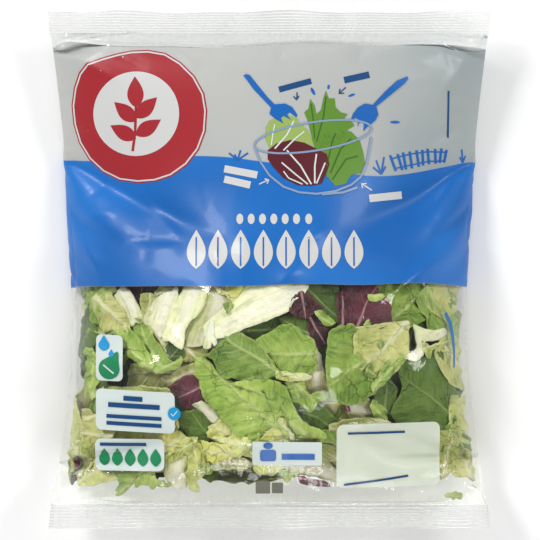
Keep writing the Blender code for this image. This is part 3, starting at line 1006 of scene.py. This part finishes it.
    ("frisee", 1.7, 0.95, (-18, -108, -44, -103), (-44, -101, -36, -99.5, -30, -101, -24, -103, -19, -107,
        -18, -110, -25, -111, -36, -111, -43, -108)),
    ("frisee", 1.2, 0.45, (-40, -122, -44, -102), (-49, -104, -42, -101, -38, -106, -39, -112, -36, -116,
        -37, -120, -42, -124, -41, -129, -46, -127, -49, -118, -47, -110)),
    ("green", 1.5, 0.3, (-35, -109, -36, -119), (-40, -111, -36, -111, -33, -116, -34, -118.5, -38,
        -118)),
    ("pale", 3.6, 0.2, (-14, -113, -34, -115), (-37, -109, -24, -109, -14, -111, -10, -115, -16, -118,
        -30, -118, -35, -116)),
    ("pale", 2.8, 1.0, (0, -121, -1, -96), (-16, -107, -10, -99, -6, -96, 4, -94, 12, -97, 11, -111, 7,
        -116, 2, -120.5, -6, -120.5, -9, -117, -9.5, -111)),
    ("pale", 1.4, 0.8, (13, -98, 4, -86), (-5, -98.5, 0, -94, 5, -90, 6, -86.5, 8, -86.5, 10, -91, 14,
        -96, 14, -99.5, 4, -100)),
    ("green", 3.0, 0.9, (12, -110, 11, -126), (6, -117, 9, -111, 14, -110, 18, -117, 17, -121, 10, -125,
        6, -121)),
    ("rib", 2.4, 0.1, (38, -121, 8, -114), (8, -114, 14, -111, 30, -110, 34, -112, 39, -118, 39, -125, 33,
        -122.5, 22, -121, 14, -118.5)),
    ("green", 3.4, 0.4, (40, -103, 28, -99), (28, -95, 42, -94, 42, -106, 34, -106, 28, -104)),
    ("pale", 4.2, 0.1, (42, -108, 30, -112), (28, -103, 42, -104, 42, -122, 36, -118, 30, -110)),
    ("radicchio", 0.9, 0.6, (17, -121, 35, -126), (16.5, -120, 20, -121, 22, -123, 28, -122.5, 32, -124,
        35, -126, 28, -126.5, 22, -126, 18, -124)),
    ("green", 1.8, 0.6, (-76, -116, -89, -133), (-90, -118, -84, -114, -72, -113, -76, -120, -80, -124,
        -84, -129, -88, -133.5, -89.5, -132, -89, -126)),
    ("green", 2.4, 0.75, (-74, -117, -60, -128), (-76, -113, -70, -115, -66, -122, -60, -126.5, -57,
        -127.5, -62, -128.5, -68, -129, -70, -126, -74, -125.5, -79, -127, -80, -124, -76, -119)),
    ("pale", 4.2, 0.8, (40, -118, 96, -100), (40, -92, 70, -92, 98, -92, 98, -120, 80, -124, 60, -124, 42,
        -120)),
    ("pale", 4.6, 0.6, (-60, -96, -100, -94), (-100, -68, -60, -70, -54, -92, -60, -112, -66, -118, -98,
        -118, -100, -92)),
    ("green", 0.7, 0.3, (74, -123, 76, -125), (74, -123.5, 75, -123, 76, -124.5, 75, -125)),
    ("green", 0.7, 0.6, (102, -131, 111, -132), (102, -131.5, 106, -131, 108.5, -129, 109, -130, 111.5,
        -130.5, 111, -133, 109, -132.5, 107, -133.5, 106, -132.5)),
    ("green", 0.7, 0.4, (119, -124, 122, -126), (119, -124, 120, -124, 122, -126, 121, -126)),
)
looseLeaves = {
    "count": 130, "seed": 8, "top": 0.030, "clearBelow": 0.018,
    "length": (34, 62), "width": (24, 42), "depth": (3.5, 12.0), "frontDepth": (9.0, 15.0),
    "sideDepth": (2.0, 6.0),
}


def layAllLeaves():
    made = {kind: [] for kind in leafKinds}
    random = np.random.default_rng(4)
    for number, (kind, depth, tone, ribLine, outline) in enumerate(frontLeaves):
        made[kind].append(placedLeaf(f"{kind}_{number}", kind, depth, tone, ribLine, outline, random))
    loose = looseLeaves
    random = np.random.default_rng(loose["seed"])
    low = flatPlace[lowWeldEnd, 0, 1] + loose["clearBelow"] + 0.012
    for number in range(loose["count"]):
        kind = random.choice(["green", "pale", "dark", "frisee", "radicchio", "rib"],
                             p=[0.44, 0.26, 0.14, 0.05, 0.06, 0.05])
        length, width = random.uniform(*loose["length"]), random.uniform(*loose["width"])
        if kind in ("rib", "frisee"):
            width *= 0.5
        c = (number + random.uniform(0, 1)) / loose["count"] * 3 % 1 * around
        v = random.uniform(low, loose["top"])
        toSide = min(c, abs(c - filmTube["flatWidth"]), around - c)
        front = c < filmTube["flatWidth"]
        depths = loose["sideDepth" if toSide < 0.02 else "frontDepth" if front else "depth"]
        made[kind].append(looseLeaf(
            f"{kind}_loose_{number}", kind, c, v, length, width, random.uniform(0, 360),
            random.uniform(*depths), random.uniform(0, 1), random))
    return made


# leaf colours: near the rib, near the margin, of the veins and of the rib; each pair runs from dark to light
leafTones = {
    "green": {
        "inner": ((0.14, 0.25, 0.02), (0.48, 0.62, 0.15)),
        "outer": ((0.055, 0.14, 0.008), (0.27, 0.44, 0.05)),
        "vein": (0.5, 0.62, 0.18),
        "ribColour": (0.6, 0.68, 0.28),
    },
    "pale": {
        "inner": ((0.36, 0.34, 0.11), (0.76, 0.77, 0.3)),
        "outer": ((0.17, 0.21, 0.035), (0.62, 0.67, 0.17)),
        "vein": (0.8, 0.82, 0.46),
        "ribColour": (0.86, 0.85, 0.6),
    },
    "rib": {
        "inner": ((0.42, 0.37, 0.17), (0.9, 0.89, 0.66)),
        "outer": ((0.3, 0.35, 0.1), (0.78, 0.82, 0.46)),
        "vein": (0.86, 0.86, 0.66),
        "ribColour": (0.92, 0.9, 0.76),
    },
    "dark": {
        "inner": ((0.028, 0.055, 0.006), (0.12, 0.21, 0.024)),
        "outer": ((0.016, 0.04, 0.004), (0.085, 0.16, 0.016)),
        "vein": (0.2, 0.31, 0.07),
        "ribColour": (0.3, 0.41, 0.13),
    },
    "radicchio": {
        "inner": ((0.02, 0.001, 0.003), (0.12, 0.02, 0.036)),
        "outer": ((0.012, 0.001, 0.002), (0.06, 0.007, 0.014)),
        "vein": (0.3, 0.08, 0.1),
        "ribColour": (0.6, 0.36, 0.34),
    },
    "frisee": {
        "inner": ((0.34, 0.44, 0.06), (0.86, 0.8, 0.38)),
        "outer": ((0.1, 0.22, 0.012), (0.66, 0.64, 0.09)),
        "vein": (0.8, 0.8, 0.4),
        "ribColour": (0.86, 0.82, 0.52),
    },
}


def leafFinish(kind):
    tones, shape = leafTones[kind], leafKinds[kind]
    finish = Finish(kind + "_leaf")
    place = finish.place()
    blade = finish.node("ShaderNodeUVMap", {"uv_map": "blade"})
    across, along, _ = finish.parts(blade)
    across, along = across * 100.0, along * 100.0
    attribute = finish.tree.nodes.new("ShaderNodeAttribute")
    attribute.attribute_name = "leafMap"
    margin, share, tone = finish.parts(Wire(finish, attribute.outputs["Vector"]))
    edge = Wire(finish, attribute.outputs["Alpha"])
    mottle = finish.noise(place, 190.0, 3.0, 0.6)
    broad = finish.noise(place, 42.0, 2.0)
    inner = finish.blend(tone, *tones["inner"])
    outer = finish.blend(tone, *tones["outer"])
    green = (margin * 0.7 + share * 0.35 + (broad - 0.5) * 1.5).step(0.10, 0.95)
    colour = finish.blend(green, inner, outer)
    # partly the leaf's own mottling and partly painted light and shade: the colour is made darker and lighter
    # in small patches, standing in for the shading of its crinkles
    mottleAndPaintedLight = finish.blend(mottle.step(0.35, 0.70), (0.74, 0.79, 0.66), (1.14, 1.12, 1.10))
    run = along - across.size() * 0.85
    lengthwise = kind == "rib"
    streak = finish.noise(finish.node("ShaderNodeCombineXYZ", None, {
        "X": across * 0.45 if lengthwise else run * 0.55, "Y": along * 0.035 if lengthwise else across * 0.10,
        "Z": tone * 31.0}), 1.0, 3.0, 0.65)
    # painted highlight: lighter bands along the veins stand in for the lit sides of the pleats
    mottleAndPaintedLight = finish.blend(streak.step(0.36, 0.62), mottleAndPaintedLight, (1.16, 1.14, 1.10))
    colour = finish.node(
        "ShaderNodeMix", {"data_type": "RGBA", "blend_type": "MULTIPLY"}, {0: 1.0, 6: colour, 7: mottleAndPaintedLight}, 2)
    slanted = run * (1.0 / shape["spacing"])
    toVein = (slanted.maths("FRACT") - 0.5).size() * shape["spacing"]
    veins = toVein.step(0.75, 0.15) * (margin * -0.7 + 1.0).most(0.0)
    net = finish.node(
        "ShaderNodeTexVoronoi", {"feature": "DISTANCE_TO_EDGE"}, {"Vector": blade, "Scale": 38.0}
    ).step(0.10, 0.0)
    ribWidth = shape["ribWidth"]
    rib = (across.size() + share * ribWidth * 0.6).step(ribWidth * 1.05, ribWidth * 0.35)
    fade = mottle.step(0.3, 0.6)
    lines = (veins * 0.42 * streak.step(0.30, 0.60) + net * fade * 0.20).least(1.0)
    bent = finish.node("ShaderNodeVectorMath", {"operation": "ADD"}, {
        0: blade, 1: finish.node("ShaderNodeVectorMath", {"operation": "SCALE"}, {
            0: finish.noised(blade, 22.0), "Scale": 0.05})})
    creasesWithPaintedShade = finish.node(
        "ShaderNodeTexVoronoi", {"feature": "DISTANCE_TO_EDGE"},
        {"Vector": finish.stretched(bent, (1.0, 0.6, 1.0), 0.6), "Scale": 14.0},
    ).step(0.035, 0.0) * broad.step(0.38, 0.62) * (0.0 if lengthwise else 1.0)
    colour = finish.blend(lines, colour, tones["vein"])
    colour = finish.blend(rib * 0.60, colour, tones["ribColour"])
    # painted shade: the colour is darkened along the crease lines, where shade falls in them
    colour = finish.node(
        "ShaderNodeMix", {"data_type": "RGBA", "blend_type": "MULTIPLY"},
        {0: creasesWithPaintedShade, 6: colour, 7: (0.62, 0.66, 0.50)}, 2)
    colour = finish.blend(edge * 0.35, colour, tones["vein"])
    grain = finish.noise(finish.stretched(blade, (9.0, 1.0, 1.0)), 26.0, 2.0)
    height = lines * -0.6 + mottle * 0.35 + streak * 0.9 - creasesWithPaintedShade * 0.8
    height = height + grain * (0.3 if lengthwise else 0.1)
    normal = finish.bump(height, 0.8, 0.0012)
    skin = finish.skin(
        Base_Color=colour, Roughness=mottle * 0.30 + 0.22, Normal=normal, IOR=1.36, Subsurface_Weight=0.15,
        Subsurface_Scale=0.002,
    )
    return finish.done(skin)


def makeLeaves():
    for kind, pieces in layAllLeaves().items():
        count = len(pieces)
        piece = join("leaves_" + kind, pieces)
        solid = piece.modifiers.new("thickness", "SOLIDIFY")
        solid.thickness = leafKinds[kind]["thick"] * mm
        solid.offset = -1.0
        deselectAll()
        piece.select_set(True)
        bpy.context.view_layer.objects.active = piece
        bpy.ops.object.modifier_apply(modifier=solid.name)
        piece.data.materials.clear()
        piece.data.materials.append(leafFinish(kind))
        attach(piece, "root")
        triangles = sum(len(face.vertices) - 2 for face in piece.data.polygons)
        print(piece.name, count, "leaves,", triangles, "triangles")


heapCore = {"low": 0.030, "high": 0.055, "depth": 17.0, "rows": 40, "columns": 120}


def makeCore():
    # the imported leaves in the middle, out of sight under the loose ones
    low = flatPlace[lowWeldEnd, 0, 1] + heapCore["low"]
    s, t = np.meshgrid(
        np.linspace(0, 1, heapCore["rows"] + 1), np.linspace(0, 1, heapCore["columns"] + 1), indexing="ij")
    c, v = t * around, low + s * (heapCore["high"] - low)
    skin, outward = onRing(ring, c, v), onRing(ringNormal, c, v)
    room = np.interp(v, flatPlace[:, 0, 1], roomInside) / mm
    random = np.random.default_rng(2)
    lumps = 2.0 * softNoise(skin[..., 0] / mm, skin[..., 1] / mm + skin[..., 2] / mm, 12, random)
    inset = np.minimum(heapCore["depth"] + lumps, 0.42 * room)
    points = skin - outward / np.linalg.norm(outward, axis=-1, keepdims=True) * inset[..., None] * mm
    middle = points.mean(axis=1, keepdims=True)
    taper = np.sqrt(np.clip(1 - abs(2 * s - 1) ** 4, 0, 1))[..., None]
    points = middle + (points - middle) * taper
    points[:, -1] = points[:, 0]
    core, _, _ = gridPiece("heap_core", points)
    finish = Finish("packed_leaves")
    tone = finish.noise(finish.place(), 60.0, 4.0, 0.6)
    # partly painted shade: the core is a dark green, standing in for the shadow seen in the gaps between the
    # loose leaves
    colour = finish.blend(tone.step(0.35, 0.65), (0.05, 0.09, 0.015), (0.18, 0.27, 0.05))
    core.data.materials.append(finish.done(finish.skin(
        Base_Color=colour, Roughness=0.55, Normal=finish.bump(tone, 0.8, 0.003))))
    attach(core, "root")


makeLeaves()
makeCore()
print("leaves laid")


# the print: flat shapes laid on the front film, in mm as the bag lies

def turned(x, y, a, b, turn):
    # points a, b about the place x, y, turned by degrees
    turn = math.radians(turn)
    return np.stack(
        [x + a * math.cos(turn) - b * math.sin(turn), y + a * math.sin(turn) + b * math.cos(turn)], -1)


def ringPath(x, y, halfWidth, halfHeight, turn=0.0, count=56):
    angle = np.linspace(0, 2 * math.pi, count, endpoint=False)
    a, b = halfWidth * np.cos(angle), halfHeight * np.sin(angle)
    return turned(x, y, a, b, turn)


def leafPath(x, y, length, width, turn):
    # a pointed leaf from its foot, leaning left by turn degrees
    s = np.linspace(0, 1, 13)
    half = width / 2 * np.sin(np.pi * s ** 0.8)
    a = np.concatenate([half, -half[-2:0:-1]])
    b = np.concatenate([s, s[-2:0:-1]]) * length
    return turned(x, y, a, b, turn)


def dropPath(x, y, radius, turn=0.0):
    angle = np.linspace(0, 2 * math.pi, 30, endpoint=False)
    stretch = np.where(np.sin(angle) > 0, 1 + 0.75 * np.sin(angle) ** 5, 1)
    a = radius * np.cos(angle) * np.where(stretch > 1, 1 - 0.35 * np.sin(angle) ** 3, 1)
    b = radius * np.sin(angle) * stretch
    return turned(x, y, a, b, turn)


def roundBox(left, low, right, high, radius, lean=0.0):
    points = []
    for x, y, start in ((right, high, 0), (left, high, 90), (left, low, 180), (right, low, 270)):
        cx = x - math.copysign(radius, x - (left + right) / 2)
        cy = y - math.copysign(radius, y - (low + high) / 2)
        for angle in np.radians(np.linspace(start, start + 90, 6)):
            px, py = cx + radius * math.cos(angle), cy + radius * math.sin(angle)
            points.append((px, py + lean * (px - left)))
    return np.array(points)


def strokePath(path, width, closed=False):
    # a line of even width, as the points of its two sides and the faces between them
    path = np.array(path, float).reshape(-1, 2)
    if closed:
        path = np.vstack([path, path[:1]])
    steps = [path[:1]]
    for start, finish in zip(path[:-1], path[1:]):
        count = max(1, round(float(np.linalg.norm(finish - start)) / 1.6))
        steps.append(start + (finish - start) * (np.arange(1, count + 1) / count)[:, None])
    path = np.vstack(steps)
    run = np.gradient(path, axis=0)
    if closed:
        run[0] = run[-1] = path[1] - path[-2]
    side = np.stack([-run[:, 1], run[:, 0]], -1) * width / 2
    side /= np.linalg.norm(run, axis=1, keepdims=True) + 1e-9
    count = len(path)
    i = np.arange(count - 1)
    faces = np.concatenate([
        np.stack([i, i + count, i + 1], -1), np.stack([i + 1, i + count, i + count + 1], -1)])
    return np.vstack([path + side, path - side]), faces


inks = {
    "red": (0.350, 0.018, 0.026), "white": (0.590, 0.590, 0.580), "blue": (0.005, 0.115, 0.430),
    "mint": (0.640, 0.720, 0.690), "sheer": (0.760, 0.820, 0.700), "line": (0.230, 0.310, 0.470),
    "green": (0.008, 0.230, 0.085), "sky": (0.008, 0.300, 0.640), "leafGreen": (0.110, 0.250, 0.025),
    "deepGreen": (0.035, 0.130, 0.012), "paleGreen": (0.300, 0.420, 0.110), "wine": (0.100, 0.010, 0.018),
    "grey": (0.170, 0.170, 0.130), "backBlue": (0.030, 0.150, 0.400), "navy": (0.006, 0.060, 0.190),
}


def inkFinish(name):
    finish = Finish("ink_" + name)
    normal = finish.bump(crinkle(finish, finish.place()), 0.35, 0.0010)
    skin = finish.skin(Base_Color=inks[name], Roughness=0.42, Normal=normal, Coat_Weight=0.07,
                       Coat_Roughness=0.10, Specular_IOR_Level=0.3)
    if name == "sheer":
        clear = finish.node("ShaderNodeBsdfTransparent", None, {"Color": (1.0, 1.0, 1.0)})
        skin = finish.node("ShaderNodeMixShader", None, {0: 0.80, 1: clear, 2: skin})
    return finish.done(skin)


def stamp(colour, level, fills=(), strokes=()):
    # shapes of one colour, pressed on the film at a level in mm above it
    places, faces, count = [], [], 0
    for outline in fills:
        spots, triangles, _ = fillOutline(outline, 2.0)
        places.append(spots)
        faces.append(triangles + count)
        count += len(spots)
    for path, width, closed in strokes:
        spots, triangles = strokePath(path, width, closed)
        places.append(spots)
        faces.append(triangles + count)
        count += len(spots)
    skin, outward, _, _ = onFilm(np.vstack(places))
    piece = meshPiece(f"print_{colour}_{round(level * 100)}", skin + outward * level * mm, np.vstack(faces))
    name = "ink_" + colour
    piece.data.materials.append(bpy.data.materials.get(name) or inkFinish(colour))
    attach(piece, "root")


badgeEdge = (-106, 120, -97, 123, -88, 125.5, -80, 127, -70, 127.3, -60, 125.5, -51, 120, -43, 112, -37.5,
    102, -35.8, 92, -36.6, 80, -40.5, 69.5, -47.5, 60.5, -56.5, 54.2, -66, 51.2, -76, 50.5, -87, 52, -97,
    57, -105, 64.5, -110.8, 74, -114, 85, -115, 96, -113.5, 106, -110.5, 114.5)
forkLeft = (-15, 112, -13.5, 113, -11.5, 112.5, -1, 99.5, 3, 95.5, 9, 96, 13, 94, 16, 89.5, 15.5, 88,
    11.5, 91, 10, 89.5, 12.5, 86.5, 8, 89, 6.5, 87.5, 8, 84.5, 3.5, 87, 0, 90, 1, 93.5, -9, 104, -13,
    109.5)
forkRight = (79.5, 112, 80, 110.5, 78, 108, 69.5, 101, 61.5, 94.5, 62.7, 90, 61, 86.5, 55.5, 82, 54, 80,
    54.5, 84.5, 52.5, 86.5, 50.5, 82.5, 51.5, 87, 49.5, 88, 46.8, 86.5, 48, 90, 51, 94, 55, 96.2, 59.5,
    95.5, 67, 103.5, 73.5, 109.5)
headGreen = (0, 86, 5, 88.5, 10, 89.5, 16, 87.5, 17.5, 84, 22, 81, 25, 74, 24, 68, 10, 66, 0, 70, -2.5,
    76, -2, 82)
headCurly = (26, 70, 22, 86, 20, 91, 22.5, 93, 23.5, 98.5, 26, 95, 27, 90, 29.5, 92, 31, 99, 32.5, 103.5,
    34, 99, 37.5, 99, 38, 94, 41, 91, 45, 90, 42, 86.5, 47, 86, 49, 83.5, 45, 81, 42, 70)
headWide = (28, 76, 33, 79, 40, 81, 47, 80, 52, 75, 54, 68, 55, 62, 52.5, 56, 47, 55, 44, 50, 38, 48.5,
    33, 54, 30, 64)
headRed = (-1, 69, 4, 73, 12, 75, 20, 73.5, 27, 70, 33, 67, 34.5, 61, 33, 56.5, 30, 50, 24, 48.5, 16, 49,
    8, 53, 2, 59.5, -1, 64)
pickets = ((69.6, 66.5, 73, 57.5), (74, 67.2, 76.8, 58), (77.2, 68.2, 79, 58.4), (81, 68.8, 82.5, 59),
    (85, 69.5, 86.5, 60), (88.5, 69.8, 89, 60.8), (91.5, 70.5, 92.5, 61.6), (96, 70.4, 96.4, 62), (99.8,
    70.8, 98.8, 62.4), (102.8, 70, 101.4, 62.6))
backStrip = (101, -25, 102.6, -24, 105.6, -30, 107.0, -38, 107.6, -47, 107.4, -56, 106.4, -57, 106.3, -47,
    105.2, -39, 103.4, -31)
tufts = ((-18.3, 63.5, ((-5, 4), (-1.8, 3.2), (1.7, 5.6), (6, 4))), (64.5, 55.5, ((-4.8, 4), (-3, 8),
    (1.6, 10), (2.6, 4.6))), (112.6, 62.8, ((-1.8, 3), (-0.8, 7.6), (1.6, 4))))


def makePrint():
    badge = np.array(badgeEdge).reshape(-1, 2)
    middle = np.array((-75.4, 89.5))
    stamp("red", 0.18, [badge])
    stamp("white", 0.30, [ringPath(-77, 90.5, 25.0, 24.3)], [(middle + (badge - middle) * 0.968, 0.9, True)])
    sprig = [leafPath(-77, y, 17, 8.5, turn) for y, turn in ((76, 62), (78, -58), (86, 48), (88, -46))]
    stamp("red", 0.42, sprig + [leafPath(-77, 94, 18, 9.5, 2)], [((-79, 69, -77.5, 80, -77, 95), 1.5, False)])

    grass = [((x, y, x + lean, y + high), 1.0, False) for x, y, blades in tufts for lean, high in blades]
    fence = [(picket, 1.5, False) for picket in pickets]
    fence += [((70.5, 64.5, 82, 67.4, 92, 68.8, 103, 68.6), 0.8, False),
              ((72, 58.8, 82, 61, 92, 63.2, 102, 63.6), 0.8, False)]
    drops = [ringPath(25, 103, 2.3, 0.9, -62), ringPath(34, 105.6, 1.3, 0.7, 80), ringPath(47.3, 100.9,
        2.0, 0.7, 20),
             ringPath(72.4, 85.6, 2.8, 0.8, 0)]
    words = [((5.5, 104, 15, 106.6, 24, 109), 3.4, False), ((43, 109.5, 57.5, 112.8), 3.8, False),
             ((15.9, 102.5, 15.6, 98.4), 0.7, False), ((13.8, 100.2, 15.6, 98, 17, 100.5), 0.7, False),
             ((44, 105.4, 40.2, 102), 0.7, False), ((40.6, 104.6, 40, 101.8, 43, 102), 0.7, False)]
    stamp("navy", 0.20, [], words + [((103.5, 77, 103.7, 104), 1.1, False)])
    stamp("blue", 0.20, drops, grass + fence)
    stamp("paleGreen", 0.22, [headGreen], [])
    stamp("leafGreen", 0.24, [headCurly, headWide], [])
    rays = [((36, 52, 44, 64, 51, 66), 0.9), ((35, 56, 41, 70, 47, 76), 0.9), ((33, 60, 36, 74, 38, 79), 0.8),
            ((27, 74, 31, 88, 32.5, 100), 0.8), ((26, 76, 25, 88, 23.8, 96), 0.7)]
    stamp("deepGreen", 0.30, [], [(path, width, False) for path, width in rays])
    stamp("wine", 0.30, [headRed], [])
    veins = [((22, 49.5, 14, 56, 7, 62), 0.8), ((24, 49.5, 18, 60, 10, 69), 0.9), ((26, 50, 26, 60, 27,
        67), 0.9),
             ((27, 50, 30, 57, 32, 62), 0.8), ((19, 49.5, 11, 53, 8, 57), 0.7)]
    ribs = [((3, 70, 10, 78, 14, 86), 0.9), ((8, 69, 15, 76, 20, 80), 0.8), ((1, 72, 2, 79, 3, 84), 0.7)]
    stamp("mint", 0.40, [], [(path, width, False) for path, width in veins + ribs])
    stamp("blue", 0.44, [forkLeft, forkRight], [])
    rim = ringPath(25, 77, 34, 8.2, 9)
    bowl = ((-8.6, 71, -5, 62, 0, 54.5, 8, 48, 17, 44.8, 27, 43.9, 38, 45.6, 47, 49.3, 52.5, 54, 56, 62,
        58.6, 77),
            (30, 43.6, 42, 44.8, 50.5, 47.8))
    stamp("line", 0.48, [], [(rim, 1.1, True)] + [(path, 1.2, False) for path in bowl])

    row = [leafPath(x, 0.8, 22.5, 11, 0) for x in (-42, -29.5, -16.5, -3.5, 9.5, 22.5, 35.5, 48.5)]
    dots = [ringPath(x, 29.5, 2.0, 3.0) for x in (-17, -10.5, -4, 2.5, 9, 15.5, 22.5)]
    words = [((-26, 58.5, -7, 54.8), 4.2, False), ((-26, 52.5, -11, 49), 4.2, False), ((57.5, 41.5, 76.5,
        43.6), 4.4, False),
             ((-6, 49.5, -0.6, 52), 0.7, False), ((-2.8, 52.6, -0.4, 52, -1.4, 49.8), 0.7, False),
             ((59, 46.2, 53, 50), 0.7, False), ((53.6, 47.4, 53, 50, 56, 50), 0.7, False)]
    stamp("white", 0.20, row + dots, words)
    stamp("blue", 0.30, [], [((x, 2.5, x, 19), 0.9, False) for x in (-42, -29.5, -16.5, -3.5, 9.5, 22.5,
        35.5, 48.5)])

    stamp("mint", 0.20, [
        roundBox(-100.3, -63.6, -84.5, -37, 3.0, -0.03), roundBox(-100.4, -92, -54.4, -68.2, 3.2, -0.045),
        roundBox(-101, -116, -60.6, -97.2, 3.6), roundBox(-9.8, -112, 30.2, -98.3, 0.8, -0.012)])
    stamp("sheer", 0.20, [roundBox(38.6, -125.6, 98.6, -88.6, 4.0, 0.02)])
    stamp("sky", 0.62, [dropPath(-95.4, -43.2, 3.2), dropPath(-91, -48.4, 1.6), ringPath(-54.6, -82.2,
        3.7, 3.7)])
    stamp("green", 0.56, [dropPath(-92.3, -56.6, 6.2, -28)] + [
        leafPath(x, -113.4, 10.5, 6.4, 0) for x in (-95.5, -88, -80.5, -73, -65.5)])
    stamp("navy", 0.56, [], [
        ((-84, -73.6, -73, -74.2), 2.8, False), ((-93, -77.4, -63, -78.8), 2.8, False),
        ((-94, -84, -62, -85.4), 2.2, False), ((-94, -88, -62, -89.4), 2.2, False), ((-98, -100.4, -71,
            -100.4), 1.8, False),
        ((45, -93.6, 78, -93), 1.3, False), ((43, -123.6, 60, -121.4, 80, -118.6), 1.2, False)])
    stamp("blue", 0.56, [ringPath(-0.8, -100.6, 2.7, 1.9), roundBox(-5.4, -109.6, 3.8, -103, 1.6)],
          [((7, -107, 26, -107.2), 3.4, False)])
    stamp("mint", 0.78, [], [((-56.4, -82.2, -55.2, -83.6, -52.8, -80.6), 0.6, False), ((-95.5, -54.6,
        -89.4, -59.4), 0.9, False)])
    stamp("backBlue", 0.16, [np.array(backStrip).reshape(-1, 2)])
    stamp("grey", 0.20, [roundBox(-8, -129, 0.4, -121.4, 0.4), roundBox(1.4, -128.8, 7.8, -122.4, 0.4)])
    print("print laid on the film")


makePrint()


# floor, camera and lamps
studio = {
    "cameraHeight": 3.0,
    "view": 0.3132,             # metres across the picture, at the height of the bag's widest line
    "sky": 0.42,
    "lamps": (                  # place, size, watts
        ((-1.15, 0.95, 1.25), 0.50, 22.0),
        ((1.25, 0.35, 1.15), 0.45, 10.0),
        ((0.15, -1.70, 0.90), 0.50, 9.0),
        ((0.10, 1.70, 0.80), 0.50, 2.5),
    ),
}


def makeFloor():
    deselectAll()
    bpy.ops.mesh.primitive_plane_add(size=6.0, location=(0, 0, -0.0002))
    floor = bpy.context.object
    floor.name = "floor"
    finish = Finish("pale_floor")
    floor.data.materials.append(finish.done(finish.skin(Base_Color=(0.93, 0.93, 0.93), Roughness=0.9)))


def makeCamera():
    lens = 36.0 * (studio["cameraHeight"] - 0.03) / studio["view"]
    deselectAll()
    bpy.ops.object.camera_add(location=(0, 0, studio["cameraHeight"]), rotation=(0, 0, 0))
    camera = bpy.context.object
    camera.data.lens = lens
    camera.data.clip_end = 50
    camera.location.x = 0.0003
    camera.location.y = 0.0002
    bpy.context.scene.camera = camera


def makeLamps():
    world = bpy.data.worlds.new("studio")
    world.use_nodes = True
    background = world.node_tree.nodes["Background"]
    background.inputs["Color"].default_value = (1.0, 1.0, 1.0, 1.0)
    background.inputs["Strength"].default_value = studio["sky"]
    bpy.context.scene.world = world
    for place, size, watts in studio["lamps"]:
        bpy.ops.object.light_add(type="AREA", location=place)
        lamp = bpy.context.object
        lamp.data.size = size
        lamp.data.energy = watts
        lookAt(lamp, (0, 0, 0.04))


makeFloor()
makeCamera()
makeLamps()
bpy.context.scene.view_settings.view_transform = "Standard"
